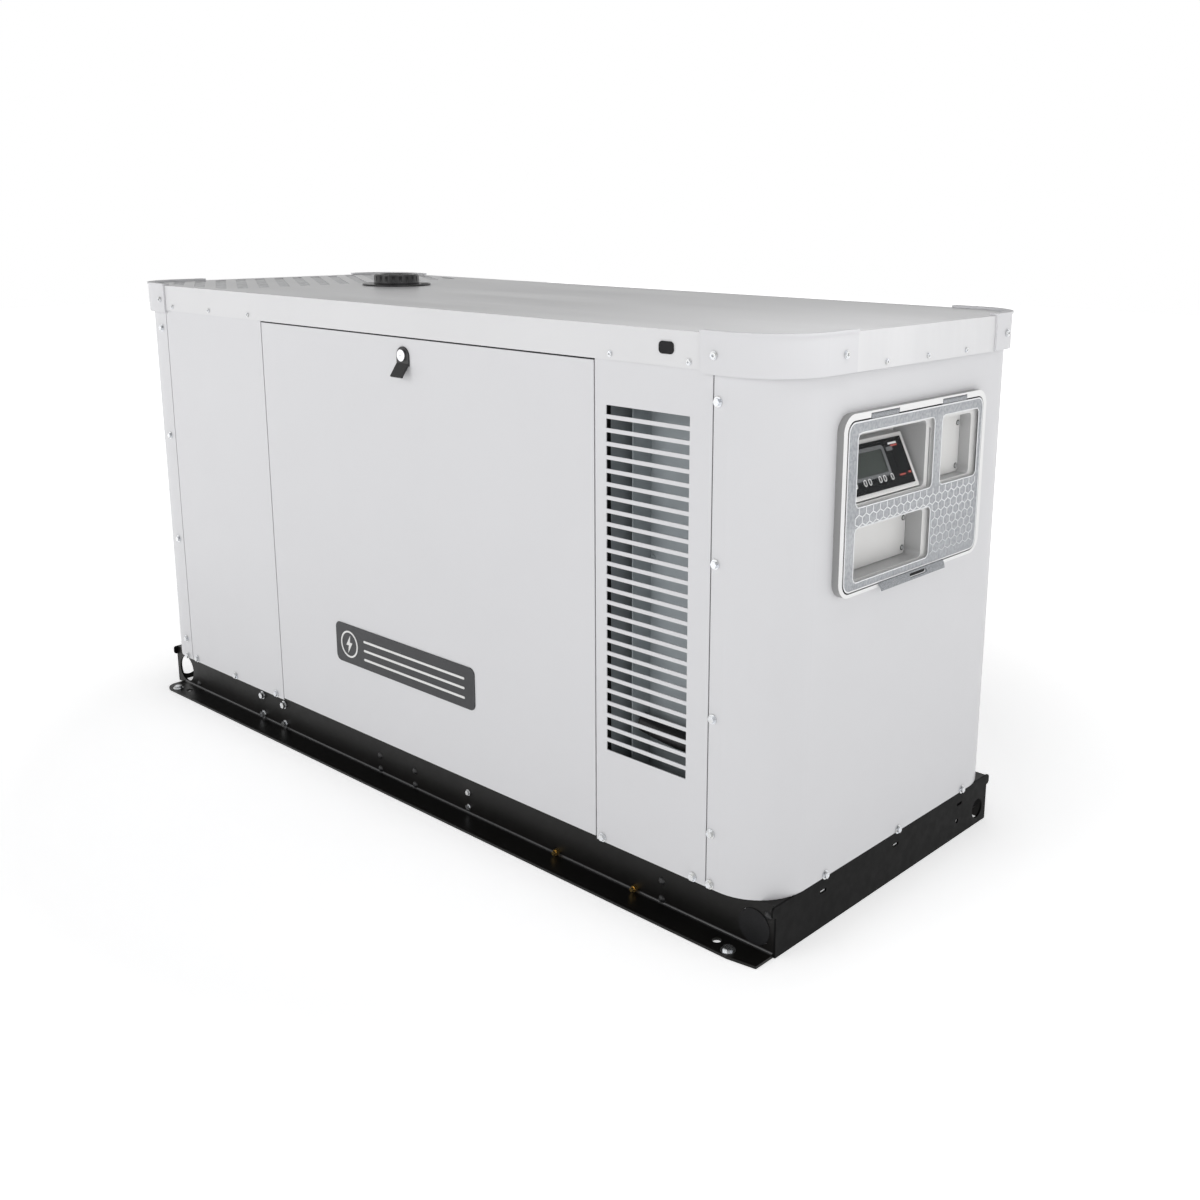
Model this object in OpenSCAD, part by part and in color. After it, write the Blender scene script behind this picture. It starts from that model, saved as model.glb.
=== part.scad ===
// Home standby generator: liquid-cooled set in a sheet-metal enclosure on a folded steel base.
// X runs along the length with the control end at +X, -Y is the front, +Z is up.
// The origin is the middle of the underside of the base.

/* [Base frame] */
// Length of the base frame
base_l = 1949; // [1945:1:1960]
// Height of the base frame
base_h = 94; // [90:1:100]
// Distance from the middle to the outer face of a rail's web
web_y = 354.5; // [350:0.5:357]
// Width of the foot flange outside the web
foot_w = 55.5; // [50:0.5:65]
// Thickness of the folded base steel
rail_t = 5; // [4:0.5:6]
// Distance of the lifting holes from the middle
lift_x = 930; // [920:1:935]
// Radius of a lifting hole
lift_r = 33; // [25:1:34]
// Anchor hole spacing along the length
anchor_dx = 1744; // [1700:2:1750]
// Anchor hole spacing across the width
anchor_dy = 764; // [760:1:770]
// Radius of an anchor hole
anchor_r = 8; // [6:0.5:9]

/* [Enclosure] */
// Length over the end panels
panel_l = 1949; // [1945:1:1955]
// Width over the side panels
panel_w = 762.4; // [762:0.2:764]
// Corner radius of the enclosure
panel_r = 102; // [90:1:110]
// Sheet thickness of the panels
sheet = 2; // [1.5:0.1:2.2]
// Height of the top of the panels, hidden inside the roof skirt
panel_top = 1010; // [1000:1:1015]
// Seam between the left end panel and the side panels
seam_left = -842.3; // [-850:0.1:-835]
// Seam between the right end panel and the louvre panels
seam_right = 844.5; // [840:0.1:850]

/* [Roof] */
// Length over the roof skirt
roof_l = 1966; // [1960:1:1970]
// Width over the roof skirt
roof_w = 770; // [769:0.5:774]
// Height of the roof above the ground
roof_top = 1026; // [1024:1:1030]
// Bottom of the roof skirt along the sides
skirt_side_z = 968; // [966:1:975]
// Bottom of the roof skirt at the ends
skirt_end_z = 962; // [958:1:968]
// Thickness of a corner cap
cap_t = 4; // [3:0.5:5]
// Bottom of the corner caps
cap_z = 963; // [960:1:966]
// Width of a discharge slot in the roof
slot_w = 24; // [18:1:30]
// Distance between discharge slots
slot_pitch = 48; // [44:1:56]

/* [Doors] */
// Left edge of a door
door_x0 = -431.7; // [-440:0.1:-425]
// Right edge of a door
door_x1 = 585.3; // [580:0.1:588]
// Bottom edge of a door
door_z0 = 99; // [98:0.5:101]
// Top edge of a door
door_z1 = 964.5; // [960:0.5:966]
// Position of the latch along the length
latch_x = 68; // [60:1:80]
// Height of the latch cylinder
latch_z = 932; // [925:1:936]

/* [Louvres] */
// Left end of the louvre slots
louvre_x0 = 612.5; // [612:0.5:615]
// Right end of the louvre slots
louvre_x1 = 797; // [790:0.5:800]
// Top of the highest louvre slot
louvre_z1 = 892; // [885:1:900]
// Distance between louvre slots
louvre_pitch = 23.1; // [22:0.1:24]
// Height of a louvre slot
louvre_h = 16; // [12:0.5:18]
// Number of louvre slots
louvre_n = 27; // [20:1:27]

/* [Control window] */
// Front edge of the window bezel
bezel_y0 = -231; // [-233:0.5:-229]
// Rear edge of the window bezel
bezel_y1 = 226; // [224:0.5:228]
// Bottom edge of the window bezel
bezel_z0 = 593; // [590:0.5:595]
// Top edge of the window bezel
bezel_z1 = 897; // [896:0.5:900]
// How far the bezel stands out of the end panel
bezel_t = 13; // [12:0.5:15]
// Travel of a push button
button_travel = 1; // [0.5:0.1:1.5]

/* [Engine] */
// Height of the crankshaft
crank_z = 330; // [325:1:335]
// Height of the water pump and fan shaft
pump_z = 480; // [475:1:485]
// Radius of the crankshaft pulley
crank_pulley_r = 75; // [70:1:80]
// Radius of the water pump pulley
pump_pulley_r = 60; // [55:1:65]
// Radius of the cooling fan
fan_r = 245; // [230:1:248]

/* [Hidden] */
$fn = 48;
eps = 0.01;

white = [0.85, 0.85, 0.86];
black = [0.05, 0.05, 0.055];
zinc = [0.75, 0.76, 0.78];
foam_grey = [0.2, 0.2, 0.21];

end_x = panel_l / 2;
side_y = panel_w / 2;
roof_x = roof_l / 2;
roof_y = roof_w / 2;
roof_r = panel_r + 5;
foot_y = web_y + foot_w;
plate_t = 4;
ear_w = 9;
ear_h = 20;
foot_end_x = 948;
foot_r = 32;
rail_l = base_l - 2 * plate_t;
pan_t = 2.5;
pan_top = base_h + pan_t;
pan_rim = 38;
liner = 0.3;
rim_y = side_y - sheet - liner;
rim_x = end_x - sheet - liner;
post_y = rim_y - sheet - 0.4;
header_z = door_z1 + 1.5;
roof_under = roof_top - sheet;
seam_gap = 1.2;
door_gap = 1.5;
door_return = 20;
pivot_y = side_y - 8.2;
pivot_z = door_z0 + 6;
pivot_r = 3;
run_fit = 0.05;

// The lift hole pair seen from one end is left open, and the other pair is plugged.
clamp_bolts = [[-568, 63.5], [-568, 15.5], [-475.5, 63], [-475.5, 15.5]];
small_bolts = [[193.5, 51], [193.5, 19]];
dome_bolts = [[-870, 16], [-103, 44], [-103, 13], [18, 44], [18, 13], [722, 48], [722, 13],
    [958, 73]];
drain_x = [455, 659];
drain_z = 12;
foot_bolt_x = 906;
foot_bolt_y = 394;
// Each cross member: channel from, channel to, end tab from, end tab to
members = [[-860, -815, -885, -815], [-552, -492, -583, -460], [-87, 5, -118, 33],
    [737, 782, 707, 782]];

// Bolts in the side faces as [x, z]
side_bolts = concat(
    [for (z = [102, 195, 399, 661, 921]) [854, z]],
    [for (z = [100, 145, 405, 665, 925]) [-866, z]],
    [for (x = [-820, -640, -462, 602, 816]) [x, 102]]);
end_bolt_y = [-217, 15, 249];
end_bolt_z = 99;
bolt_hole_r = 3.1;
roof_screw_x = [-802, -639, -475, 626, 797];
roof_screw_z = 978;
roof_screw_y = [-110, 19, 148];
roof_screw_end_z = 972;
cap_screw_x = 851;
cap_screw_y = [-233, 288];
cap_screw_z = 993;

fill_x = -500;
fill_y = 37;
fill_flange_r = 81;
fill_cap_r = 54;
neck_bore_r = 48;

// Clear cover and its hinge, on the right end panel
face_x = end_x + bezel_t;
cover_t = 3;
cover_y0 = bezel_y0 + 13;
cover_y1 = bezel_y1 - 13;
cover_z0 = bezel_z0 + 8;
cover_z1 = bezel_z1 - 13;
hinge_x = face_x - cover_t;
hinge_z = cover_z1 + 5;
knuckle_r = 4;
trunnion_r = 2;
knuckles = [[-154, -71], [71, 152]];

// Pockets of the control tray as [y from, y to, z from, z to, x of the back]
tray_x = end_x + 6;
tray_t = 3;
pockets = [[-206, 30, 746, 860, 915], [75, 185, 746, 857, 957], [-206, 32, 618, 704, 946]];

// The controller's sloping face: a local frame with X out of the face and Z up the slope
slope = 26.3;
slope_x = 981;
slope_z = 753;
button_z = 22;
button_names = ["up", "down", "enter", "auto", "manual", "off"];
button_y = [-171, -143, -129, -98, -84, -61];

shaft_r = 40;
fan_x = -560;
belt_t = 6;
alternator_x0 = 180;
alternator_x1 = 560;

// ---------- helpers ----------

// A rectangle with round corners, centred
module round_rect(l, w, r) {
    square([l - 2 * r, w], center = true);
    square([l, w - 2 * r], center = true);
    for (sx = [-1, 1], sy = [-1, 1]) {
        translate([sx * (l / 2 - r), sy * (w / 2 - r)]) circle(r);
    }
}

// A rectangle with round corners given by its corners
module round_box(a0, a1, b0, b1, r) {
    translate([(a0 + a1) / 2, (b0 + b1) / 2]) round_rect(a1 - a0, b1 - b0, r);
}

// A plan ring of wall t
module plan_ring(l, w, r, t) {
    difference() {
        round_rect(l, w, r);
        round_rect(l - 2 * t, w - 2 * t, r - t);
    }
}

// A block between two corners
module block(low, high) {
    translate(low) cube(high - low);
}

// Children with local +Z pointing out of the named face
module on_front(x, z, y) { translate([x, -y, z]) rotate([90, 0, 0]) children(); }
module on_back(x, z, y) { translate([x, y, z]) rotate([-90, 0, 0]) children(); }
module on_right(y, z, x) { translate([x, y, z]) rotate([0, 90, 0]) children(); }
module on_left(y, z, x) { translate([-x, y, z]) rotate([0, -90, 0]) children(); }

// Children as drawn and mirrored to the rear
module both_sides() {
    children();
    mirror([0, 1, 0]) children();
}

// A drawing in Y and Z (as its X and Y) made into a solid along X
module along_x(x0, x1) {
    translate([x0, 0, 0]) rotate([90, 0, 90]) linear_extrude(x1 - x0) children();
}

// A drawing in X and Z (as its X and Y) made into a solid along Y
module along_y(y0, y1) {
    translate([0, y1, 0]) rotate([90, 0, 0]) linear_extrude(y1 - y0) children();
}

// A round bar along X
module rod_x(x0, x1, r) { translate([x0, 0, 0]) rotate([0, 90, 0]) cylinder(h = x1 - x0, r = r); }

// A hexagon bolt with its flange, the shank going into the face
module hex_bolt(flange_r, head_r, head_h, shank_r, shank_l) {
    cylinder(h = 1.6, r = flange_r);
    cylinder(h = head_h, r = head_r, $fn = 6);
    translate([0, 0, -shank_l]) cylinder(h = shank_l + eps, r = shank_r);
}

// A low round-headed screw with a socket
module pan_screw(head_r, head_h, shank_r, shank_l) {
    difference() {
        union() {
            cylinder(h = head_h * 0.6, r = head_r);
            cylinder(h = head_h, r = head_r * 0.8);
        }
        translate([0, 0, head_h * 0.4]) cylinder(h = head_h, r = head_r * 0.4, $fn = 6);
    }
    translate([0, 0, -shank_l]) cylinder(h = shank_l + eps, r = shank_r);
}

// A domed bolt head
module dome_bolt(head_r, shank_r, shank_l) {
    intersection() {
        translate([0, 0, -head_r * 0.6]) sphere(head_r * 1.17);
        cylinder(h = head_r, r = head_r);
    }
    translate([0, 0, -shank_l]) cylinder(h = shank_l + eps, r = shank_r);
}

// ---------- base ----------

module rail_drills(points, r) {
    for (p = points) on_front(p[0], p[1], web_y) cylinder(h = 40, r = r, center = true);
}

// Foot of a rail: cut straight at the end given by s, short and round at the other
module rail_foot(s) {
    far_x = rail_l / 2;
    near_x = foot_end_x - foot_r;
    linear_extrude(rail_t) translate([0, -foot_y]) {
        polygon([[-s * near_x, 0], [s * (far_x - 55), 0], [s * far_x, 9], [s * far_x, foot_w],
            [-s * foot_end_x, foot_w], [-s * foot_end_x, foot_r]]);
        translate([-s * near_x, foot_r]) circle(foot_r);
    }
}

module rail(s) {
    difference() {
        union() {
            block([-rail_l / 2, -web_y, 0], [rail_l / 2, -web_y + rail_t, base_h]);
            block([-rail_l / 2, -web_y, base_h - rail_t], [rail_l / 2, -web_y + 45, base_h]);
            rail_foot(s);
        }
        for (side = [-1, 1]) {
            on_front(side * lift_x, 42, web_y) cylinder(h = 40, r = lift_r, center = true);
            translate([side * anchor_dx / 2, -anchor_dy / 2, -1]) cylinder(h = 10, r = anchor_r);
            translate([side * foot_bolt_x, -foot_bolt_y, -1]) cylinder(h = 10, r = 6.1);
        }
        rail_drills(clamp_bolts, 4.1);
        rail_drills(small_bolts, 3.1);
        rail_drills(dome_bolts, 4.1);
        rail_drills([for (x = drain_x) [x, drain_z]], 4.1);
    }
}

module base_rails() {
    color(black) {
        rail(1);
        mirror([0, 1, 0]) rail(-1);
    }
}

module end_plate(hole_y, hole_z, hole_r) {
    difference() {
        union() {
            block([end_x - plate_t, -web_y, 0], [end_x, web_y, base_h]);
            block([end_x - 30, -300, base_h - plate_t], [end_x - plate_t, 300, base_h]);
            along_x(end_x - plate_t, end_x) {
                round_box(-web_y - ear_w, web_y + ear_w, base_h - ear_h, base_h, 6);
            }
        }
        on_right(hole_y, hole_z, end_x) cylinder(h = 30, r = hole_r, center = true);
        on_right(240, 34, end_x) cylinder(h = 30, r = 5, center = true);
        for (y = end_bolt_y) {
            block([end_x - 10, y - 12, 66], [end_x + 1, y + 6, 72]);
        }
    }
}

module end_plates() {
    color(black) {
        end_plate(320, 33, 20);
        rotate([0, 0, 180]) end_plate(326, 38, 27);
    }
}

module cross_members() {
    in_y = web_y - rail_t;
    color(black) for (m = members) {
        difference() {
            union() {
                block([m[0], -in_y + 4, 0], [m[1], in_y - 4, rail_t]);
                for (x = [m[0], m[1] - 4]) {
                    block([x, -in_y + 4, rail_t], [x + 4, in_y - 4, 80]);
                }
                both_sides() block([m[2], -in_y, 6], [m[3], -in_y + 4, 80]);
                both_sides() block([m[0], -in_y + 3, 0], [m[1], -in_y + 5, 80]);
            }
            both_sides() {
                rail_drills(clamp_bolts, 4.1);
                rail_drills(dome_bolts, 4.1);
            }
        }
    }
}

// Flat floor of the enclosure with an upturned rim behind the fixed panels
module floor_pan() {
    color(black) difference() {
        translate([0, 0, base_h]) {
            linear_extrude(pan_t) {
                round_rect(2 * rim_x, 2 * rim_y, panel_r - sheet - liner);
            }
            linear_extrude(pan_rim) {
                plan_ring(2 * rim_x, 2 * rim_y, panel_r - sheet - liner, sheet);
            }
        }
        both_sides() block([door_x0 - 2, -side_y, 0], [door_x1 + 2, -side_y + 15, 200]);
        panel_bolt_drills();
    }
}

module hole_plugs() {
    color(black) {
        both_sides() on_front(lift_x, 42, web_y) {
            cylinder(h = 1.5, r = lift_r - 0.5);
            translate([0, 0, -rail_t]) cylinder(h = rail_t, r = lift_r - 0.3);
        }
        on_front(750, 997.5, roof_y) {
            linear_extrude(2) round_box(-15.5, 15.5, -10, 10, 7);
            translate([0, 0, -sheet]) linear_extrude(sheet) round_box(-13, 13, -8, 8, 6);
        }
    }
}

module base_bolts() {
    color(zinc) both_sides() {
        for (p = clamp_bolts) on_front(p[0], p[1], web_y) hex_bolt(9.5, 7.5, 8, 4, 14);
        for (p = small_bolts) on_front(p[0], p[1], web_y) hex_bolt(6.5, 5, 5, 3, 8);
        for (s = [-1, 1]) {
            translate([s * foot_bolt_x, -foot_bolt_y, rail_t]) hex_bolt(13, 9.5, 6.5, 6, 4.5);
        }
    }
}

module carriage_bolts() {
    color(black) both_sides() {
        for (p = dome_bolts) on_front(p[0], p[1], web_y) dome_bolt(7.5, 4, 14);
    }
}

module drain_fittings() {
    color([0.8, 0.62, 0.25]) {
        for (x = drain_x) on_front(x, drain_z, web_y) {
            translate([0, 0, -12]) cylinder(h = 13, r = 4);
            cylinder(h = 8, r = 6.5, $fn = 6);
            cylinder(h = 13, r = 4);
        }
    }
}

// ---------- enclosure ----------

module panel_bolt_drills() {
    both_sides() for (p = side_bolts) {
        on_front(p[0], p[1], side_y) cylinder(h = 14, r = bolt_hole_r, center = true);
    }
    for (y = end_bolt_y) {
        on_right(y, end_bolt_z, end_x) cylinder(h = 14, r = bolt_hole_r, center = true);
        on_left(y, end_bolt_z, end_x) cylinder(h = 14, r = bolt_hole_r, center = true);
    }
}

module panel_bolts() {
    color(zinc) {
        both_sides() for (p = side_bolts) {
            on_front(p[0], p[1], side_y) hex_bolt(8.5, 6.2, 6, 3, 4.4);
        }
        for (y = end_bolt_y) {
            on_right(y, end_bolt_z, end_x) hex_bolt(8.5, 6.2, 6, 3, 4.2);
            on_left(y, end_bolt_z, end_x) hex_bolt(8.5, 6.2, 6, 3, 4.2);
        }
    }
}

module end_wrap(x0) {
    intersection() {
        translate([0, 0, base_h]) linear_extrude(panel_top - base_h) {
            plan_ring(panel_l, panel_w, panel_r, sheet);
        }
        block([x0, -side_y - 1, 0], [end_x + 1, side_y + 1, panel_top + 1]);
    }
}

module left_end_panel() {
    color(white) difference() {
        mirror([1, 0, 0]) end_wrap(-seam_left + seam_gap);
        panel_bolt_drills();
    }
}

module right_end_panel() {
    color(white) difference() {
        end_wrap(seam_right + seam_gap);
        panel_bolt_drills();
        block([end_x - 5, bezel_y0 + 10, bezel_z0 + 7], [end_x + 1, bezel_y1 - 10, bezel_z1 - 10]);
    }
}

module flat_panel(x0, x1) {
    block([x0, -side_y, base_h], [x1, -side_y + sheet, panel_top]);
}

module blank_panels() {
    color(white) difference() {
        both_sides() flat_panel(seam_left + seam_gap, door_x0 - door_gap);
        panel_bolt_drills();
    }
}

module louvre_slots() {
    for (i = [0:louvre_n - 1]) {
        z = louvre_z1 - i * louvre_pitch;
        block([louvre_x0, -side_y - 1, z - louvre_h], [louvre_x1, -side_y + sheet + 1, z]);
    }
}

module louvre_panels() {
    color(white) difference() {
        both_sides() difference() {
            flat_panel(door_x1 + door_gap, seam_right - seam_gap);
            louvre_slots();
        }
        panel_bolt_drills();
    }
}

module post(x0, x1) {
    depth = 22;
    difference() {
        block([x0, -post_y, pan_top], [x1, -post_y + depth, header_z - 0.2]);
        block([x0 + 2, -post_y + 2, 0], [x1 - 2, -post_y + depth + 1, header_z]);
    }
}

module inner_frame() {
    color(zinc) both_sides() {
        post(seam_left - 30, seam_left + 22);
        post(door_x0 - 46, door_x0 - 14);
        post(door_x1 + 10, louvre_x0 - 3);
        post(seam_right - 24, seam_right + 24);
        block([-870, -post_y, header_z], [870, -post_y + 2, roof_under]);
        block([-870, -post_y + 2, roof_under - 2], [870, -post_y + 30, roof_under]);
    }
}

// Brackets on the floor whose pins carry the door's lower corners
module door_pivots() {
    color(zinc) both_sides() {
        for (s = [0, 1]) {
            x = s == 0 ? door_x0 - 8 : door_x1 + 4;
            pin_x0 = s == 0 ? x : x - 12;
            block([x, -post_y, pan_top], [x + 4, -post_y + 20, pivot_z + 6]);
            translate([0, -pivot_y, pivot_z]) rod_x(pin_x0, pin_x0 + 16, pivot_r);
        }
    }
}

module roof_drills() {
    both_sides() {
        for (x = roof_screw_x) {
            on_front(x, roof_screw_z, roof_y) cylinder(h = 8, r = 2.6, center = true);
        }
        for (s = [-1, 1]) {
            on_front(s * cap_screw_x, cap_screw_z, roof_y) cylinder(h = 16, r = 3.1, center = true);
        }
    }
    for (y = roof_screw_y) {
        on_right(y, roof_screw_end_z, roof_x) cylinder(h = 8, r = 2.6, center = true);
        on_left(y, roof_screw_end_z, roof_x) cylinder(h = 8, r = 2.6, center = true);
    }
    for (y = cap_screw_y) {
        on_right(y, cap_screw_z, roof_x) cylinder(h = 16, r = 3.1, center = true);
        on_left(y, cap_screw_z, roof_x) cylinder(h = 16, r = 3.1, center = true);
    }
}

module discharge_slots() {
    intersection() {
        translate([-790, 0, 0]) rotate([0, 0, -30]) for (i = [-9:9]) {
            block([-600, i * slot_pitch, roof_top - 6], [600, i * slot_pitch + slot_w, roof_top + 2]);
        }
        translate([0, 0, roof_top - 6]) linear_extrude(10) round_box(-955, -615, -350, 350, 40);
    }
}

module roof_panel() {
    color(white) difference() {
        union() {
            translate([0, 0, roof_top - sheet]) linear_extrude(sheet) {
                round_rect(roof_l, roof_w, roof_r);
            }
            translate([0, 0, skirt_end_z]) linear_extrude(roof_top - skirt_end_z) {
                plan_ring(roof_l, roof_w, roof_r, sheet);
            }
        }
        both_sides() block([-roof_x + roof_r, -roof_y - 1, 900], [roof_x - roof_r, -300, skirt_side_z]);
        discharge_slots();
        translate([fill_x, fill_y, roof_top - 10]) cylinder(h = 20, r = fill_cap_r + 4.3);
        on_front(750, 997.5, roof_y) translate([0, 0, -5]) linear_extrude(10) {
            round_box(-13.3, 13.3, -8.3, 8.3, 6.3);
        }
        roof_drills();
    }
}

module discharge_screen() {
    color([0.45, 0.46, 0.47]) translate([0, 0, roof_under - 2.7]) linear_extrude(2.7) {
        round_box(-965, -605, -346, 346, 45);
    }
}

// The cap on the corner at +X, -Y, from cap_x along the side to cap_y along the end
module corner_cap(cap_x, cap_y) {
    difference() {
        union() {
            translate([0, 0, cap_z]) linear_extrude(roof_top + 4.5 - cap_z) difference() {
                round_rect(roof_l + 2 * cap_t, roof_w + 2 * cap_t, roof_r + cap_t);
                round_rect(roof_l + 0.6, roof_w + 0.6, roof_r + 0.3);
            }
            translate([0, 0, roof_top + 0.3]) linear_extrude(4.2) difference() {
                round_rect(roof_l + 2 * cap_t + 4, roof_w + 2 * cap_t + 4, roof_r + cap_t + 2);
                round_rect(roof_l - 24, roof_w - 24, roof_r - 12);
            }
        }
        block([-1100, -500, 900], [cap_x, 500, 1100]);
        block([0, cap_y, 900], [1100, 500, 1100]);
    }
}

module corner_caps() {
    color(white) difference() {
        union() {
            corner_cap(822, -200);
            mirror([0, 1, 0]) corner_cap(822, -250);
            mirror([1, 0, 0]) corner_cap(833, -200);
            mirror([1, 0, 0]) mirror([0, 1, 0]) corner_cap(833, -250);
        }
        roof_drills();
    }
}

module roof_screws() {
    color(zinc) {
        both_sides() {
            for (x = roof_screw_x) on_front(x, roof_screw_z, roof_y) pan_screw(5, 3, 2.5, 3);
            for (s = [-1, 1]) {
                on_front(s * cap_screw_x, cap_screw_z, roof_y + cap_t) pan_screw(6.7, 4, 3, 7);
            }
        }
        for (y = roof_screw_y) {
            on_right(y, roof_screw_end_z, roof_x) pan_screw(5, 3, 2.5, 3);
            on_left(y, roof_screw_end_z, roof_x) pan_screw(5, 3, 2.5, 3);
        }
        for (y = cap_screw_y) {
            on_right(y, cap_screw_z, roof_x + cap_t) pan_screw(6.7, 4, 3, 7);
            on_left(y, cap_screw_z, roof_x + cap_t) pan_screw(6.7, 4, 3, 7);
        }
    }
}

// Flange on the roof with a neck below it and an open tether loop on one side
module fill_neck() {
    color(black) translate([fill_x, fill_y, 0]) difference() {
        union() {
            translate([0, 0, roof_top]) cylinder(h = 4, r = fill_flange_r);
            translate([0, 0, roof_top - 60]) cylinder(h = 62, r = fill_cap_r + 4);
        }
        translate([0, 0, roof_top - 70]) cylinder(h = 80, r = neck_bore_r);
        intersection() {
            translate([0, 0, roof_top - 1]) difference() {
                cylinder(h = 10, r = fill_flange_r - 5);
                cylinder(h = 10, r = fill_cap_r + 6);
            }
            block([45, -60, roof_top - 2], [100, 60, roof_top + 10]);
        }
    }
}

module fill_cap() {
    grips = 20;
    color(black) translate([fill_x, fill_y, roof_top + 4]) {
        difference() {
            union() {
                cylinder(h = 20, r = fill_cap_r - 1);
                cylinder(h = 4, r = fill_cap_r);
                cylinder(h = 22, r = fill_cap_r - 3);
                translate([0, 0, -24]) cylinder(h = 25, r = neck_bore_r - run_fit);
            }
            for (i = [0:grips - 1]) {
                rotate([0, 0, (i + 0.5) * 360 / grips]) translate([fill_cap_r + 2, 0, 5]) {
                    cylinder(h = 12, r = 4.4);
                }
            }
            translate([0, 0, 19]) cylinder(h = 10, r = fill_cap_r - 14);
        }
    }
}

// ---------- doors ----------

module door_skin() {
    x0 = door_x0 + door_gap;
    x1 = door_x1 - door_gap;
    difference() {
        union() {
            block([x0, -side_y, door_z0], [x1, -side_y + sheet, door_z1]);
            for (x = [x0, x1 - sheet]) {
                block([x, -side_y, door_z0], [x + sheet, -side_y + door_return, door_z1]);
            }
            for (z = [door_z0, door_z1 - sheet]) {
                block([x0, -side_y, z], [x1, -side_y + door_return - 6, z + sheet]);
            }
        }
        translate([0, -pivot_y, pivot_z]) {
            rod_x(x0 - 1, x0 + sheet + 1, pivot_r + run_fit);
            rod_x(x1 - sheet - 1, x1 + 1, pivot_r + run_fit);
        }
        on_front(latch_x, latch_z, side_y) cylinder(h = 10, r = 9 + run_fit, center = true);
        block([latch_x - 16, -side_y + sheet, door_z1 - 3], [latch_x + 50, -side_y + 30, door_z1 + 1]);
    }
}

module door_foam() {
    block([door_x0 + 27, -side_y + sheet + 0.3, 125], [door_x1 - 27, -side_y + 26, 900]);
}

// Black plate round the key cylinder with a finger pull bent out below it
module latch_plate() {
    half_w = 18.8;
    on_front(latch_x, latch_z, side_y) difference() {
        union() {
            linear_extrude(3) {
                translate([0, -2]) circle(half_w);
                translate([-half_w, -20]) square([2 * half_w, 18]);
            }
            along_x(-half_w + 1, half_w - 1) {
                polygon([[-20, 0], [-16, 0], [-16, 4], [-40, 21], [-42, 18], [-20, 2]]);
            }
        }
        cylinder(h = 20, r = 9 + run_fit, center = true);
    }
}

// Key cylinder with its cam; a quarter turn takes the cam up behind the header rail
module latch_cylinder() {
    on_front(latch_x, latch_z, side_y) {
        translate([0, 0, -11]) cylinder(h = 15, r = 9);
        difference() {
            translate([0, 0, 3.2]) cylinder(h = 4, r = 11.5);
            translate([-5, -1.2, 5]) cube([10, 2.4, 4]);
        }
        translate([0, 0, -11]) linear_extrude(3) {
            circle(12);
            translate([0, -9]) square([50, 18]);
        }
    }
}

module front_door_skin() { color(white) door_skin(); }
module front_door_foam() { color(foam_grey) door_foam(); }
module front_latch_plate() { color(black) latch_plate(); }
module front_latch_cylinder() { color(zinc) latch_cylinder(); }
module rear_door_skin() { color(white) mirror([0, 1, 0]) door_skin(); }
module rear_door_foam() { color(foam_grey) mirror([0, 1, 0]) door_foam(); }
module rear_latch_plate() { color(black) mirror([0, 1, 0]) latch_plate(); }
module rear_latch_cylinder() { color(zinc) mirror([0, 1, 0]) latch_cylinder(); }

// ---------- control end ----------

module window_bezel() {
    gap = 2;
    color(white) difference() {
        along_x(end_x, face_x) difference() {
            round_box(bezel_y0, bezel_y1, bezel_z0, bezel_z1, 30);
            round_box(cover_y0 - gap, cover_y1 + gap, cover_z0 - gap, cover_z1 + gap, 20);
        }
        for (k = knuckles) {
            block([end_x + 4, k[0] - 1, cover_z1], [face_x + 1, k[1] + 1, hinge_z + knuckle_r + 0.5]);
            translate([hinge_x, (k[0] + k[1]) / 2, hinge_z]) rotate([90, 0, 0]) {
                cylinder(h = k[1] - k[0] + 14, r = trunnion_r + run_fit, center = true);
            }
        }
    }
}

module control_tray() {
    color([0.93, 0.93, 0.93]) difference() {
        union() {
            along_x(tray_x - tray_t, tray_x) {
                round_box(cover_y0 + 1, cover_y1 - 1, cover_z0 + 1, cover_z1 - 1, 18);
            }
            for (p = pockets) {
                along_x(p[4] - tray_t, tray_x) {
                    round_box(p[0] - tray_t, p[1] + tray_t, p[2] - tray_t, p[3] + tray_t, 10);
                }
            }
            along_x(end_x - sheet - tray_t, end_x - sheet) {
                round_box(bezel_y0 - 8, bezel_y1 + 8, bezel_z0 - 8, bezel_z1 + 8, 20);
            }
        }
        for (p = pockets) along_x(p[4], tray_x + 1) round_box(p[0], p[1], p[2], p[3], 8);
        block([tray_x - 12, 41, 742], [tray_x + 1, 44.5, 846]);
    }
}

// Plates with four corner screws over the two empty pockets
module blank_plates() {
    color([0.93, 0.93, 0.93]) for (i = [1, 2]) {
        p = pockets[i];
        along_x(p[4], p[4] + 2) round_box(p[0] + 1, p[1] - 1, p[2] + 1, p[3] - 1, 7);
        for (y = [p[0] + 9, p[1] - 9], z = [p[2] + 12, p[3] - 20]) {
            on_right(y, z, p[4] + 2) pan_screw(3.5, 2.4, 1, 1);
        }
    }
}

// Local frame of the sloping face
module on_slope() { translate([slope_x, 0, slope_z]) rotate([0, -slope, 0]) children(); }

module button_shape(r, z0, z1) {
    rotate([0, 90, 0]) translate([0, 0, z0]) linear_extrude(z1 - z0) {
        translate([-1.5, 0]) circle(r);
        translate([1.5, 0]) circle(r);
        square([3, 2 * r], center = true);
    }
}

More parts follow.
